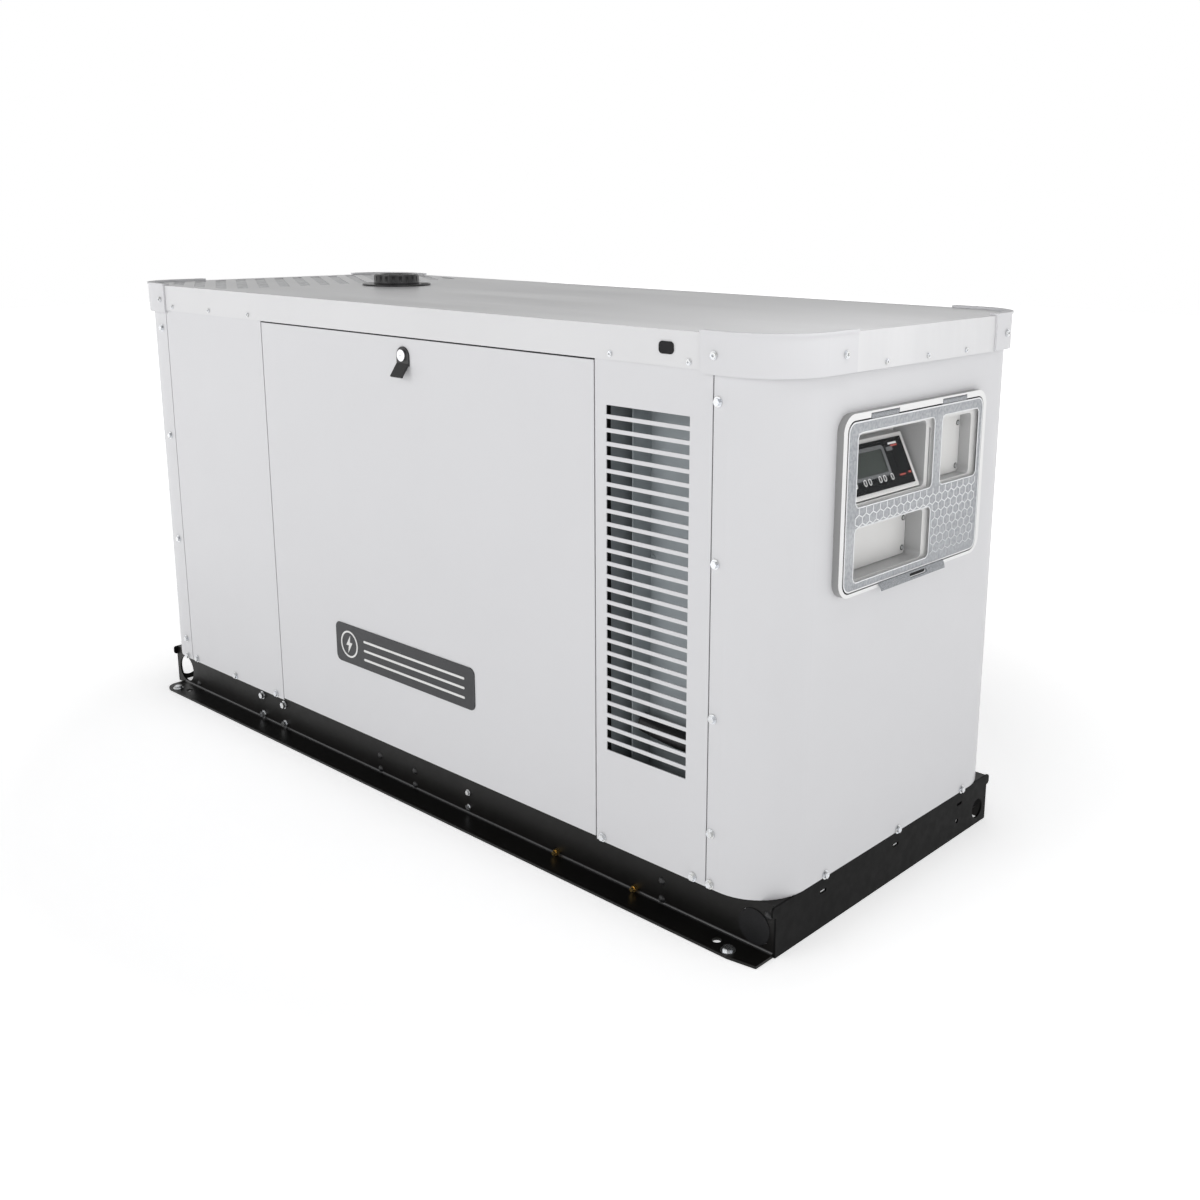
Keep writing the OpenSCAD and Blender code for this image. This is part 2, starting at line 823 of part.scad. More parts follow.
module controller_housing() {
    back_x = pockets[0][4];
    color([0.93, 0.93, 0.93]) difference() {
        along_y(-203, 14) polygon([[back_x, 749], [slope_x + tan(slope), 749],
            [slope_x + tan(slope), slope_z - 1],
            [slope_x - 95 * sin(slope), slope_z + 95 * cos(slope)], [back_x, slope_z + 95 * cos(slope)]]);
        on_slope() for (y = button_y) translate([0, y, button_z]) button_shape(5.3, -7, 1);
    }
}

module controller_face() {
    color(black) on_slope() difference() {
        block([0, -194, 4], [2, 4, 88]);
        for (y = button_y) translate([0, y, button_z]) button_shape(4.6, -1, 3);
        block([1, -162, 30], [3, -64, 74]);
        block([1.2, -49, 34], [3, -34, 66]);
    }
}

module display_glass() {
    color([0.25, 0.3, 0.28]) on_slope() block([1, -161.7, 30.3], [1.9, -64.3, 73.7]);
}

module button(i) {
    color([0.9, 0.9, 0.9]) on_slope() translate([0, button_y[i], button_z]) {
        button_shape(4.3, -4, 3.2);
        button_shape(5, -5, -1.2);
    }
}

module button_up() { button(0); }
module button_down() { button(1); }
module button_enter() { button(2); }
module button_auto() { button(3); }
module button_manual() { button(4); }
module button_off() { button(5); }

// Clear plate with two hinge knuckles at the top and a finger tab at the bottom
module clear_cover() {
    tab_y0 = -112;
    tab_y1 = 96;
    color([0.8, 0.85, 0.88, 0.4]) {
        along_x(face_x - cover_t, face_x) {
            round_box(cover_y0, cover_y1, cover_z0, cover_z1, 18);
        }
        for (k = knuckles) {
            block([face_x - cover_t, k[0], cover_z1 - 8], [face_x, k[1], hinge_z]);
            translate([hinge_x, (k[0] + k[1]) / 2, hinge_z]) rotate([90, 0, 0]) {
                cylinder(h = k[1] - k[0], r = knuckle_r, center = true);
                cylinder(h = k[1] - k[0] + 10, r = trunnion_r, center = true);
            }
        }
        difference() {
            along_y(tab_y0, tab_y1) polygon([[face_x - 2, cover_z0 + 1], [face_x, cover_z0 + 6],
                [face_x + 2.4, cover_z0 + 2], [face_x + 8.5, cover_z0 - 13],
                [face_x + 6, cover_z0 - 14.5], [face_x + 0.5, cover_z0 - 1]]);
            along_x(face_x - 5, face_x + 15) {
                polygon([[tab_y0 - 1, 560], [tab_y0 + 10, 560], [tab_y0 - 1, cover_z0 - 2]]);
                polygon([[tab_y1 + 1, 560], [tab_y1 - 10, 560], [tab_y1 + 1, cover_z0 - 2]]);
                translate([8, cover_z0 - 6]) round_rect(56, 7, 3.4);
            }
        }
    }
}

// ---------- engine and alternator ----------

module crank_axis() { translate([0, 0, crank_z]) children(); }

module engine_block() {
    color([0.3, 0.31, 0.32]) {
        difference() {
            union() {
                block([-430, -120, 235], [130, 120, 480]);
                for (x = [-400:90:50]) block([x, -132, 250], [x + 20, 132, 450]);
                crank_axis() rod_x(130, 180, 185);
                translate([0, 0, pump_z]) rod_x(-450, -429, 48);
                both_sides() for (x = [-360, 40]) block([x, -230, 225], [x + 60, -110, 245]);
            }
            crank_axis() rod_x(-500, 300, shaft_r + run_fit);
            crank_axis() rod_x(-400, 100, 62);
            translate([0, 0, pump_z]) rod_x(-460, -430.5, 20 + run_fit);
        }
        difference() {
            union() {
                block([-410, -105, 150], [110, 105, 234.9]);
                block([-420, -115, 229], [120, 115, 234.9]);
            }
            block([-404, -99, 156], [104, 99, 240]);
        }
    }
}

module cylinder_head() {
    color([0.32, 0.33, 0.35]) {
        block([-420, -105, 480], [120, 105, 560]);
        block([-410, -80, 560], [110, 80, 575]);
        block([-350, -62, 575], [95, 62, 615]);
        for (x = [-330:90:30]) translate([x, 0, 615]) cylinder(h = 14, r = 16);
        translate([60, 40, 575]) cylinder(h = 62, r = 22);
    }
}

module exhaust_system() {
    pipe_r = 26;
    run_y = 318;
    run_z = 455;
    muffler_x = -830;
    color([0.45, 0.4, 0.36]) {
        block([-390, 132.5, 500], [90, 172, 545]);
        for (x = [-370:90:80]) block([x - 14, 105, 505], [x + 14, 132.5, 540]);
        translate([-340, 160, 522]) rotate([-90, 0, 0]) cylinder(h = run_y - 160, r = pipe_r);
        translate([-340, run_y, 522]) sphere(pipe_r);
        translate([0, run_y, 522]) rod_x(muffler_x, -340, pipe_r);
        translate([muffler_x, run_y, 522]) sphere(pipe_r);
        translate([muffler_x, run_y, 360]) cylinder(h = 162, r = pipe_r);
        translate([muffler_x, run_y, 360]) sphere(pipe_r);
        translate([muffler_x, 240, 360]) rotate([-90, 0, 0]) cylinder(h = run_y - 240, r = pipe_r);
        translate([muffler_x, -260, 360]) rotate([-90, 0, 0]) cylinder(h = 520, r = 95);
        for (y = [-150, 130]) block([muffler_x - 70, y, pan_top], [muffler_x + 70, y + 20, 300]);
    }
}

module air_cleaner() {
    color([0.12, 0.12, 0.13]) {
        translate([0, -235, 700]) rod_x(-330, -40, 72);
        translate([0, -235, 700]) rod_x(-345, -330, 78);
        translate([0, -235, 700]) rod_x(-40, 0, 40);
        block([-380, -165, 500], [90, -105, 545]);
        translate([-20, -235, 545]) cylinder(h = 155, r = 30);
        block([-60, -262, 505], [20, -165, 545]);
    }
}

// Starter, oil filter and fuel regulator
module engine_accessories() {
    color([0.35, 0.36, 0.38]) {
        translate([0, -180, 250]) rod_x(-130, 36, 42);
        translate([0, -165, 305]) rod_x(-90, 20, 22);
        block([-15, -150, 245], [30, -120, 275]);
        translate([-250, -232, 330]) cylinder(h = 110, r = 42);
        block([-285, -232, 350], [-225, -120, 380]);
        block([250, -330, 640], [360, -230, 730]);
        translate([305, -280, 730]) cylinder(h = 40, r = 55);
        translate([0, -250, 665]) rod_x(10.5, 251, 14);
        block([290, -231, 650], [320, -40, 662]);
        block([290, -60, 590], [320, -40, 651]);
    }
}

module vibration_mounts() {
    color([0.1, 0.1, 0.1]) {
        both_sides() for (x = [-330, 70]) {
            translate([x, -185, pan_top]) cylinder(h = 70, r = 34);
            block([x - 30, -225, pan_top + 70], [x + 30, -145, 225]);
        }
        both_sides() translate([480, -110, pan_top]) cylinder(h = 40, r = 34);
    }
}

module radiator() {
    color([0.16, 0.16, 0.17]) {
        block([-668, -275, 215], [-618, 275, 745]);
        block([-672, -285, 745], [-614, 285, 800]);
        block([-672, -285, 160], [-614, 285, 215]);
        both_sides() block([-672, -290, pan_top], [-614, -275, 745]);
        translate([-643, fill_y, 799]) cylinder(h = 61, r = 24);
        translate([-643, fill_y, 860]) sphere(24);
        translate([0, fill_y, 860]) rod_x(-643, fill_x, 24);
        translate([fill_x, fill_y, 836]) cylinder(h = 110, r = 34);
        for (p = [[-180, 772], [95, 187]]) translate([0, p[0], p[1]]) rod_x(-615, -590, 24);
    }
}

module fan_shroud() {
    color([0.13, 0.13, 0.14]) difference() {
        union() {
            block([-614, -285, 216], [-609, 285, 744]);
            translate([0, 0, pump_z]) rod_x(-609, -525, fan_r + 15);
        }
        translate([0, 0, pump_z]) rod_x(-700, -400, fan_r + 11);
    }
}

module coolant_hoses() {
    hose_r = 22;
    color([0.08, 0.08, 0.08]) {
        translate([0, -180, 772]) rod_x(-590, -470, hose_r);
        translate([-470, -180, 772]) sphere(hose_r);
        translate([-470, -180, 772]) rotate([-90, 0, 0]) cylinder(h = 130, r = hose_r);
        translate([-470, -50, 772]) sphere(hose_r);
        translate([0, -50, 772]) rod_x(-470, -380, hose_r);
        translate([-380, -50, 772]) sphere(hose_r);
        translate([-380, -50, 575]) cylinder(h = 197, r = hose_r);
        translate([0, 95, 187]) rod_x(-590, -500, 20);
        translate([-500, 95, 187]) sphere(20);
        translate([-500, 95, 187]) cylinder(h = 83, r = 20);
        translate([-500, 95, 270]) sphere(20);
        translate([0, 95, 270]) rod_x(-500, -430, 20);
    }
}

module fan() {
    blades = 7;
    color([0.9, 0.6, 0.1]) translate([0, 0, pump_z]) difference() {
        union() {
            rod_x(fan_x - 20, fan_x + 15, 62);
            for (i = [0:blades - 1]) {
                rotate([i * 360 / blades, 0, 0]) translate([fan_x, 0, 55]) rotate([0, 0, 38]) {
                    block([-3, -38, 0], [3, 38, fan_r - 62]);
                }
            }
        }
        rod_x(fan_x - 30, fan_x + 30, 20.2);
    }
}

module pump_pulley() {
    color([0.4, 0.41, 0.43]) translate([0, 0, pump_z]) {
        rod_x(fan_x - 22, -431, 20);
        difference() {
            rod_x(-492, -460, pump_pulley_r);
            rod_x(-493, -464, pump_pulley_r - 12);
        }
        for (x = [-494, -462]) rod_x(x, x + 2, pump_pulley_r + belt_t + 0.5);
    }
}

// Crankshaft with its pulley and the alternator's rotor
module crankshaft() {
    color([0.5, 0.51, 0.53]) crank_axis() {
        rod_x(-500, 575, shaft_r);
        rod_x(-492, -460, crank_pulley_r);
        for (x = [-494, -462]) rod_x(x, x + 2, crank_pulley_r + belt_t + 0.5);
        for (x = [-380:110:60]) translate([x, -20, 0]) rotate([0, 90, 0]) cylinder(h = 30, r = 38);
        rod_x(250, 500, 118);
    }
}

module belt_plan(grow) {
    ratio = (crank_pulley_r - pump_pulley_r) / (pump_z - crank_z);
    a = asin(ratio);
    rc = crank_pulley_r + grow;
    rp = pump_pulley_r + grow;
    translate([0, crank_z]) circle(rc);
    translate([0, pump_z]) circle(rp);
    polygon([[rc * cos(a), crank_z + rc * sin(a)], [rp * cos(a), pump_z + rp * sin(a)],
        [-rp * cos(a), pump_z + rp * sin(a)], [-rc * cos(a), crank_z + rc * sin(a)]]);
}

module drive_belt() {
    color([0.07, 0.07, 0.07]) along_x(-490, -464) difference() {
        belt_plan(belt_t);
        belt_plan(0.4);
    }
}

module alternator_housing() {
    color([0.28, 0.29, 0.3]) {
        difference() {
            union() {
                crank_axis() rod_x(alternator_x0, alternator_x1, 165);
                for (i = [0:11]) {
                    crank_axis() rotate([i * 30, 0, 0]) block([230, -6, 150], [520, 6, 176]);
                }
                block([260, -90, 480], [470, 90, 590]);
                both_sides() block([440, -150, pan_top + 40], [520, -70, 240]);
            }
            crank_axis() rod_x(alternator_x0 + 20, alternator_x1 - 20, 132);
            crank_axis() rod_x(alternator_x0 - 5, alternator_x1 + 5, shaft_r + run_fit);
        }
    }
}

// Sound baffles behind the louvres, with the wall that closes off the alternator side
module air_baffle() {
    both_walls_x = 603;
    color([0.5, 0.53, 0.56]) {
        both_sides() {
            block([640, -300, 120], [840, -298, 950]);
            block([both_walls_x + 10, -300, 120], [640, -298, 950]);
            for (x = [648, 820], z = [300, 620, 900]) on_front(x, z, 300) pan_screw(5, 3, 2, 1);
            block([640, -346, pan_top], [642, -299, 950]);
        }
        block([both_walls_x, -320, pan_top], [both_walls_x + 2, 320, 950]);
    }
}

module battery() {
    color([0.09, 0.09, 0.1]) {
        block([270, -350, pan_top], [520, -180, pan_top + 6]);
        block([280, -340, pan_top + 6], [510, -190, 290]);
        block([285, -335, 290], [505, -195, 300]);
        for (x = [315, 475]) translate([x, -300, 300]) cylinder(h = 18, r = 9);
    }
}

module breaker() {
    color([0.14, 0.14, 0.15]) difference() {
        union() {
            block([880, -70, 340], [end_x - sheet, 80, 540]);
            block([870, -60, 350], [880, 70, 530]);
        }
        block([860, -13, 400], [900, 13, 480]);
        translate([885, 0, 440]) rotate([90, 0, 0]) cylinder(h = 36, r = 4 + run_fit, center = true);
    }
}

module breaker_lever() {
    color([0.1, 0.1, 0.1]) translate([885, 0, 440]) {
        rotate([90, 0, 0]) cylinder(h = 24, r = 12, center = true);
        rotate([90, 0, 0]) cylinder(h = 34, r = 4, center = true);
        rotate([0, 25, 0]) block([-48, -8, -5], [0, 8, 5]);
    }
}

base_rails();
end_plates();
cross_members();
floor_pan();
hole_plugs();
base_bolts();
carriage_bolts();
drain_fittings();
left_end_panel();
right_end_panel();
blank_panels();
louvre_panels();
inner_frame();
door_pivots();
roof_panel();
discharge_screen();
corner_caps();
roof_screws();
panel_bolts();
fill_neck();
fill_cap();
front_door_skin();
front_door_foam();
front_latch_plate();
front_latch_cylinder();
rear_door_skin();
rear_door_foam();
rear_latch_plate();
rear_latch_cylinder();
window_bezel();
control_tray();
blank_plates();
controller_housing();
controller_face();
display_glass();
button_up();
button_down();
button_enter();
button_auto();
button_manual();
button_off();
clear_cover();
engine_block();
cylinder_head();
exhaust_system();
air_cleaner();
engine_accessories();
vibration_mounts();
radiator();
fan_shroud();
coolant_hoses();
fan();
pump_pulley();
crankshaft();
drive_belt();
alternator_housing();
air_baffle();
battery();
breaker();
breaker_lever();
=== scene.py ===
import bmesh
import bpy
import math
from mathutils import Matrix, Vector


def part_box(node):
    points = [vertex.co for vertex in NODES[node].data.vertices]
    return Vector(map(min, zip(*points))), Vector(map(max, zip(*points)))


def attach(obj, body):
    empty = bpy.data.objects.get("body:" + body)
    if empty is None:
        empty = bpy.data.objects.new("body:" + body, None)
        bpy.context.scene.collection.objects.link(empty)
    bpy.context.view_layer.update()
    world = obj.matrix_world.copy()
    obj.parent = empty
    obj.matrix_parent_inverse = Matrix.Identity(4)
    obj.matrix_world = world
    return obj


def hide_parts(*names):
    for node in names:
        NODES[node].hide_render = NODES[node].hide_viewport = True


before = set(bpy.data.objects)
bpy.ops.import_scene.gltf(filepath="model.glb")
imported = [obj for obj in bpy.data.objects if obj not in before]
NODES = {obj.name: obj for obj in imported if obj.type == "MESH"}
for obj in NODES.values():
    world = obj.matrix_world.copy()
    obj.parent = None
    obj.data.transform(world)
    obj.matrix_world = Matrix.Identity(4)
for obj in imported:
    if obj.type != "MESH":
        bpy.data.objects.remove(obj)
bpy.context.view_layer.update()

MM = 0.001


# ---------- camera ----------

CAMERA_AT = (2.1359, -1.9473, 1.2123)
AZIMUTH, ELEVATION, ROLL = math.radians(41.90), math.radians(13.38), math.radians(0.39)
LENS_MM, SENSOR_MM = 39.53, 36.0
SHIFT_X, SHIFT_Y = -0.0483, -0.0658


def make_camera():
    """The camera at the viewing angle: its Z axis points back along the view, then it is rolled"""
    z = Vector((math.sin(AZIMUTH) * math.cos(ELEVATION), -math.cos(AZIMUTH) * math.cos(ELEVATION),
                math.sin(ELEVATION)))
    x = Vector((0, 0, 1)).cross(z).normalized()
    y = z.cross(x)
    c, s = math.cos(ROLL), math.sin(ROLL)
    m = Matrix((x * c + y * s, y * c - x * s, z)).transposed().to_4x4()
    m.translation = Vector(CAMERA_AT)
    data = bpy.data.cameras.new("camera")
    data.sensor_width = SENSOR_MM
    data.lens = LENS_MM
    data.shift_x, data.shift_y = SHIFT_X, SHIFT_Y
    data.clip_start, data.clip_end = 0.05, 60.0
    cam = bpy.data.objects.new("camera", data)
    cam.matrix_world = m
    bpy.context.scene.collection.objects.link(cam)
    bpy.context.scene.camera = cam


make_camera()


# ---------- materials ----------

def tree(name):
    """A new material with its node tree and shader"""
    m = bpy.data.materials.new(name)
    m.use_nodes = True
    return m, m.node_tree, m.node_tree.nodes["Principled BSDF"]


def noise(nt, co, scale, detail=3.0, rough=0.5):
    n = nt.nodes.new("ShaderNodeTexNoise")
    n.inputs["Scale"].default_value = scale
    n.inputs["Detail"].default_value = detail
    n.inputs["Roughness"].default_value = rough
    nt.links.new(co, n.inputs["Vector"])
    return n


def ramp(nt, value, lo, hi, a, b):
    """Maps lo..hi to a..b, clamped at both ends"""
    n = nt.nodes.new("ShaderNodeMapRange")
    for key, v in (("From Min", lo), ("From Max", hi), ("To Min", a), ("To Max", b)):
        n.inputs[key].default_value = v
    nt.links.new(value, n.inputs["Value"])
    return n.outputs["Result"]


def mix(nt, fac, a, b):
    """A colour between a and b, each a colour or a socket"""
    n = nt.nodes.new("ShaderNodeMix")
    n.data_type = "RGBA"
    nt.links.new(fac, n.inputs[0])
    for sock, v in ((n.inputs[6], a), (n.inputs[7], b)):
        if isinstance(v, bpy.types.NodeSocket):
            nt.links.new(v, sock)
        else:
            sock.default_value = (*v[:3], 1)
    return n.outputs[2]


def add_bump(nt, bsdf, layers):
    """Chains layers of (height socket, strength, distance) into the shader's normal"""
    last = None
    for height, strength, dist in layers:
        b = nt.nodes.new("ShaderNodeBump")
        b.inputs["Strength"].default_value = strength
        b.inputs["Distance"].default_value = dist
        nt.links.new(height, b.inputs["Height"])
        if last:
            nt.links.new(last, b.inputs["Normal"])
        last = b.outputs["Normal"]
    nt.links.new(last, bsdf.inputs["Normal"])


def split(nt, vector):
    """The X, Y and Z sockets of a vector"""
    sep = nt.nodes.new("ShaderNodeSeparateXYZ")
    nt.links.new(vector, sep.inputs[0])
    return sep.outputs


def coords(nt, stretch=None):
    """Object coordinates, stretched when asked"""
    tc = nt.nodes.new("ShaderNodeTexCoord")
    if stretch is None:
        return tc.outputs["Object"]
    mp = nt.nodes.new("ShaderNodeMapping")
    mp.inputs["Scale"].default_value = stretch
    nt.links.new(tc.outputs["Object"], mp.inputs["Vector"])
    return mp.outputs["Vector"]


def surface(name, base, rough, metal=0.0, vary=0.05, blotch=4.0, grain=700.0, bump=0.12, dist=0.0002,
            rough_vary=0.06, coat=0.0, stretch=None, tint=None, spec=0.5, wear=0.0):
    """A painted, moulded or metal surface: blotchy colour, uneven gloss and a fine grain"""
    m, nt, p = tree(name)
    co = coords(nt, stretch)
    big = noise(nt, co, blotch, 4.0).outputs["Fac"]
    fine = noise(nt, co, grain, 2.0).outputs["Fac"]
    mid = noise(nt, co, blotch * 9, 5.0, 0.6).outputs["Fac"]
    dark = [c * (1 - vary) for c in base]
    light = [min(1, c * (1 + vary)) for c in (tint or base)]
    col = mix(nt, ramp(nt, big, 0.3, 0.7, 0, 1), dark, light)
    if wear:
        worn = ramp(nt, mid, 0.62, 0.72, 0, wear)
        col = mix(nt, worn, col, [min(1, c * 1.6 + 0.03) for c in base])
    nt.links.new(col, p.inputs["Base Color"])
    nt.links.new(ramp(nt, mid, 0.3, 0.7, rough - rough_vary, rough + rough_vary), p.inputs["Roughness"])
    p.inputs["Metallic"].default_value = metal
    p.inputs["Specular IOR Level"].default_value = spec
    p.inputs["Coat Weight"].default_value = coat
    p.inputs["Coat Roughness"].default_value = 0.15
    add_bump(nt, p, [(mid, bump * 0.5, dist * 4), (fine, bump, dist)])
    return m


M = {
    "white": surface("powder_coat", (0.64, 0.64, 0.655), 0.45, vary=0.012, blotch=1.6, grain=620, bump=0.10,
                     spec=0.35),
    "black": surface("base_enamel", (0.006, 0.0055, 0.005), 0.36, vary=0.25, blotch=6, grain=420, bump=0.12,
                     spec=0.22, wear=0.05),
    "black_matt": surface("end_enamel", (0.005, 0.005, 0.005), 0.5, vary=0.25, blotch=6, grain=420, bump=0.12,
                          spec=0.07, wear=0.04),
    # Painted highlight: the bend's enamel is lighter than the rails' so that its line shows brighter
    "bend": surface("bend_enamel", (0.030, 0.030, 0.032), 0.30, vary=0.2, blotch=9, grain=420, bump=0.05,
                    coat=0.5),
    "seal": surface("rubber_seal", (0.012, 0.012, 0.013), 0.6, vary=0.2, blotch=30, grain=900, bump=0.2,
                    spec=0.2),
    "grey": surface("display_frame", (0.13, 0.135, 0.14), 0.35, vary=0.08, blotch=40, grain=2200,
                    bump=0.08, spec=0.25),
    "ink": surface("white_print", (0.82, 0.82, 0.82), 0.4, vary=0.03, blotch=60, grain=2500, bump=0.03),
    "key": surface("key_rubber", (0.03, 0.03, 0.032), 0.45, vary=0.1, blotch=60, grain=2500, bump=0.1),
    "zinc": surface("zinc_plate", (0.72, 0.72, 0.70), 0.26, metal=1.0, vary=0.10, blotch=90, grain=1500,
                    bump=0.10, tint=(0.70, 0.72, 0.76)),
    "plastic_black": surface("black_moulding", (0.016, 0.016, 0.017), 0.42, vary=0.15, blotch=20, grain=1600,
                             bump=0.25),
    "cap_black": surface("cap_moulding", (0.013, 0.013, 0.014), 0.36, vary=0.15, blotch=20, grain=1300,
                         bump=0.22),
    "overlay": surface("control_overlay", (0.003, 0.003, 0.0035), 0.55, vary=0.2, blotch=30, grain=3000,
                       bump=0.03, spec=0.04),
    "slate": surface("slate_print", (0.022, 0.023, 0.026), 0.42, vary=0.05, blotch=12, grain=1500, bump=0.05),
    "bar": surface("accent_print", (0.70, 0.70, 0.69), 0.42, vary=0.03, blotch=12, grain=1500, bump=0.05),
    "red": surface("accent_red", (0.50, 0.05, 0.03), 0.4, vary=0.05, blotch=60, grain=2500, bump=0.04),
    "enamel": surface("engine_enamel", (0.035, 0.036, 0.038), 0.38, vary=0.2, blotch=14, grain=300, bump=0.5,
                      dist=0.0006, wear=0.15),
    "cast": surface("cast_aluminium", (0.42, 0.42, 0.42), 0.48, metal=1.0, vary=0.12, blotch=16, grain=520,
                    bump=0.6, dist=0.0005),
    "hot": surface("exhaust_steel", (0.30, 0.26, 0.22), 0.46, metal=0.9, vary=0.28, blotch=7, grain=420,
                   bump=0.25, tint=(0.36, 0.30, 0.24)),
    "steel": surface("turned_steel", (0.55, 0.55, 0.56), 0.30, metal=1.0, vary=0.05, blotch=12, grain=900,
                     bump=0.15, stretch=(1, 0.05, 0.05)),
    "rubber": surface("black_rubber", (0.013, 0.013, 0.013), 0.72, vary=0.25, blotch=18, grain=900, bump=0.3),
    "radiator": surface("radiator_paint", (0.018, 0.018, 0.019), 0.6, vary=0.2, blotch=10, grain=500,
                        bump=0.3),
    "fan": surface("fan_moulding", (0.02, 0.02, 0.022), 0.45, vary=0.15, blotch=12, grain=900, bump=0.2),
    "battery": surface("battery_case", (0.018, 0.018, 0.02), 0.5, vary=0.2, blotch=14, grain=700, bump=0.3),
    "breaker": surface("breaker_case", (0.028, 0.028, 0.03), 0.5, vary=0.1, blotch=20, grain=1200, bump=0.3),
    "brass": surface("machined_brass", (0.66, 0.45, 0.16), 0.26, metal=1.0, vary=0.10, blotch=60, grain=1500,
                     bump=0.1),
    "chrome": surface("polished_chrome", (0.80, 0.80, 0.82), 0.10, metal=1.0, vary=0.03, blotch=60,
                      grain=2200, bump=0.03, rough_vary=0.03),
}


def galvanised(name, base):
    """Zinc-coated sheet with its crystal pattern"""
    m, nt, p = tree(name)
    co = coords(nt)
    v = nt.nodes.new("ShaderNodeTexVoronoi")
    v.inputs["Scale"].default_value = 95
    nt.links.new(co, v.inputs["Vector"])
    sep = nt.nodes.new("ShaderNodeSeparateColor")
    nt.links.new(v.outputs["Color"], sep.inputs["Color"])
    col = mix(nt, sep.outputs[0], [c * 0.82 for c in base], [c * 1.12 for c in base])
    nt.links.new(col, p.inputs["Base Color"])
    nt.links.new(ramp(nt, sep.outputs[1], 0, 1, 0.38, 0.52), p.inputs["Roughness"])
    p.inputs["Metallic"].default_value = 0.9
    add_bump(nt, p, [(noise(nt, co, 400).outputs["Fac"], 0.1, 0.0002)])
    return m


def baffle():
    """Coated sheet, blue-grey behind the louvres, with painted shade darkening it where the duct starts"""
    m, nt, p = tree("baffle_coating")
    co = coords(nt)
    duct_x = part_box("air_baffle")[0].x + 0.001
    # Painted shade: the sheet darkens over the first 46 mm from the duct's start, where the duct walls shade
    # it
    along = ramp(nt, split(nt, co)[0], duct_x, duct_x + 0.046, 0, 1)
    blotch = ramp(nt, noise(nt, co, 9, 3).outputs["Fac"], 0.3, 0.7, 0.85, 1.1)
    plate = mix(nt, along, (0.20, 0.22, 0.235), (0.36, 0.395, 0.415))
    dull = mix(nt, blotch, (0.02, 0.025, 0.03), plate)
    nt.links.new(dull, p.inputs["Base Color"])
    nt.links.new(ramp(nt, blotch, 0.8, 1.1, 0.5, 0.62), p.inputs["Roughness"])
    add_bump(nt, p, [(noise(nt, co, 500).outputs["Fac"], 0.12, 0.0002)])
    return m


def glass(name, tint, alpha, rough, frost=0.0, grain=900.0):
    """Clear or frosted plastic; frost varies how much of what is behind shows through"""
    m, nt, p = tree(name)
    co = coords(nt)
    big = noise(nt, co, 40, 3).outputs["Fac"]
    fine = noise(nt, co, grain, 2).outputs["Fac"]
    nt.links.new(mix(nt, big, [c * 0.85 for c in tint], tint), p.inputs["Base Color"])
    nt.links.new(ramp(nt, big, 0.3, 0.7, max(0.0, rough - 0.03), rough + 0.05), p.inputs["Roughness"])
    if frost:
        nt.links.new(ramp(nt, fine, 0.35, 0.65, alpha - frost, alpha + frost), p.inputs["Alpha"])
    else:
        p.inputs["Alpha"].default_value = alpha
    p.inputs["IOR"].default_value = 1.5
    add_bump(nt, p, [(fine, 0.5 if frost else 0.05, 0.0004 if frost else 0.0001)])
    return m


def cover_glass():
    """The clear cover: see-through in the middle, smoke grey at its hinge knuckles and pull tab"""
    m, nt, p = tree("clear_polycarbonate")
    co = coords(nt)
    height = split(nt, co)[2]
    edge = nt.nodes.new("ShaderNodeMath")
    edge.operation = "MAXIMUM"
    low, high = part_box("clear_cover")
    knuckle_z, tab_z, blend = high.z - 0.009, low.z + 0.0145, 0.0005
    nt.links.new(ramp(nt, height, knuckle_z, knuckle_z + blend, 0, 1), edge.inputs[0])
    nt.links.new(ramp(nt, height, tab_z, tab_z + blend, 1, 0), edge.inputs[1])
    fine = noise(nt, co, 500, 2).outputs["Fac"]
    smoke = mix(nt, ramp(nt, fine, 0.3, 0.7, 0, 1), (0.20, 0.21, 0.23), (0.42, 0.44, 0.46))
    nt.links.new(mix(nt, edge.outputs[0], (0.55, 0.58, 0.60), smoke), p.inputs["Base Color"])
    nt.links.new(ramp(nt, edge.outputs[0], 0, 1, 0.014, 0.80), p.inputs["Alpha"])
    p.inputs["Roughness"].default_value = 0.08
    add_bump(nt, p, [(fine, 0.05, 0.0001)])
    return m


def moulding(name, face_colour, painted_shade_colour, lo, hi, **look):
    """Pale moulding whose side walls, facing away from +X, get painted shade: a darker colour mixed in by the
    direction they face
    """
    m = surface(name, face_colour, **look)
    nt = m.node_tree
    socket = nt.nodes["Principled BSDF"].inputs["Base Color"]
    face = socket.links[0].from_socket
    facing = nt.nodes.new("ShaderNodeNewGeometry")
    # Painted shade: faces leaning away from +X are mixed towards the darker colour
    shade_mask = ramp(nt, split(nt, facing.outputs["True Normal"])[0], lo, hi, 0, 1)
    nt.links.new(mix(nt, shade_mask, painted_shade_colour, face), socket)
    return m


def foam():
    """Open-celled dark foam, with painted shade in its pores"""
    m, nt, p = tree("acoustic_foam")
    co = coords(nt)
    v = nt.nodes.new("ShaderNodeTexVoronoi")
    v.inputs["Scale"].default_value = 420
    nt.links.new(co, v.inputs["Vector"])
    big = noise(nt, co, 8, 3).outputs["Fac"]
    pores = ramp(nt, v.outputs["Distance"], 0.1, 0.7, 0, 1)
    # Painted shade: the pores, lowest in the bump, are darker
    col = mix(nt, pores, (0.010, 0.010, 0.011), (0.045, 0.045, 0.047))
    col = mix(nt, ramp(nt, big, 0.3, 0.7, 0, 0.4), col, (0.06, 0.06, 0.06))
    nt.links.new(col, p.inputs["Base Color"])
    p.inputs["Roughness"].default_value = 0.95
    p.inputs["Sheen Weight"].default_value = 0.25
    add_bump(nt, p, [(v.outputs["Distance"], 0.8, 0.0012)])
    return m


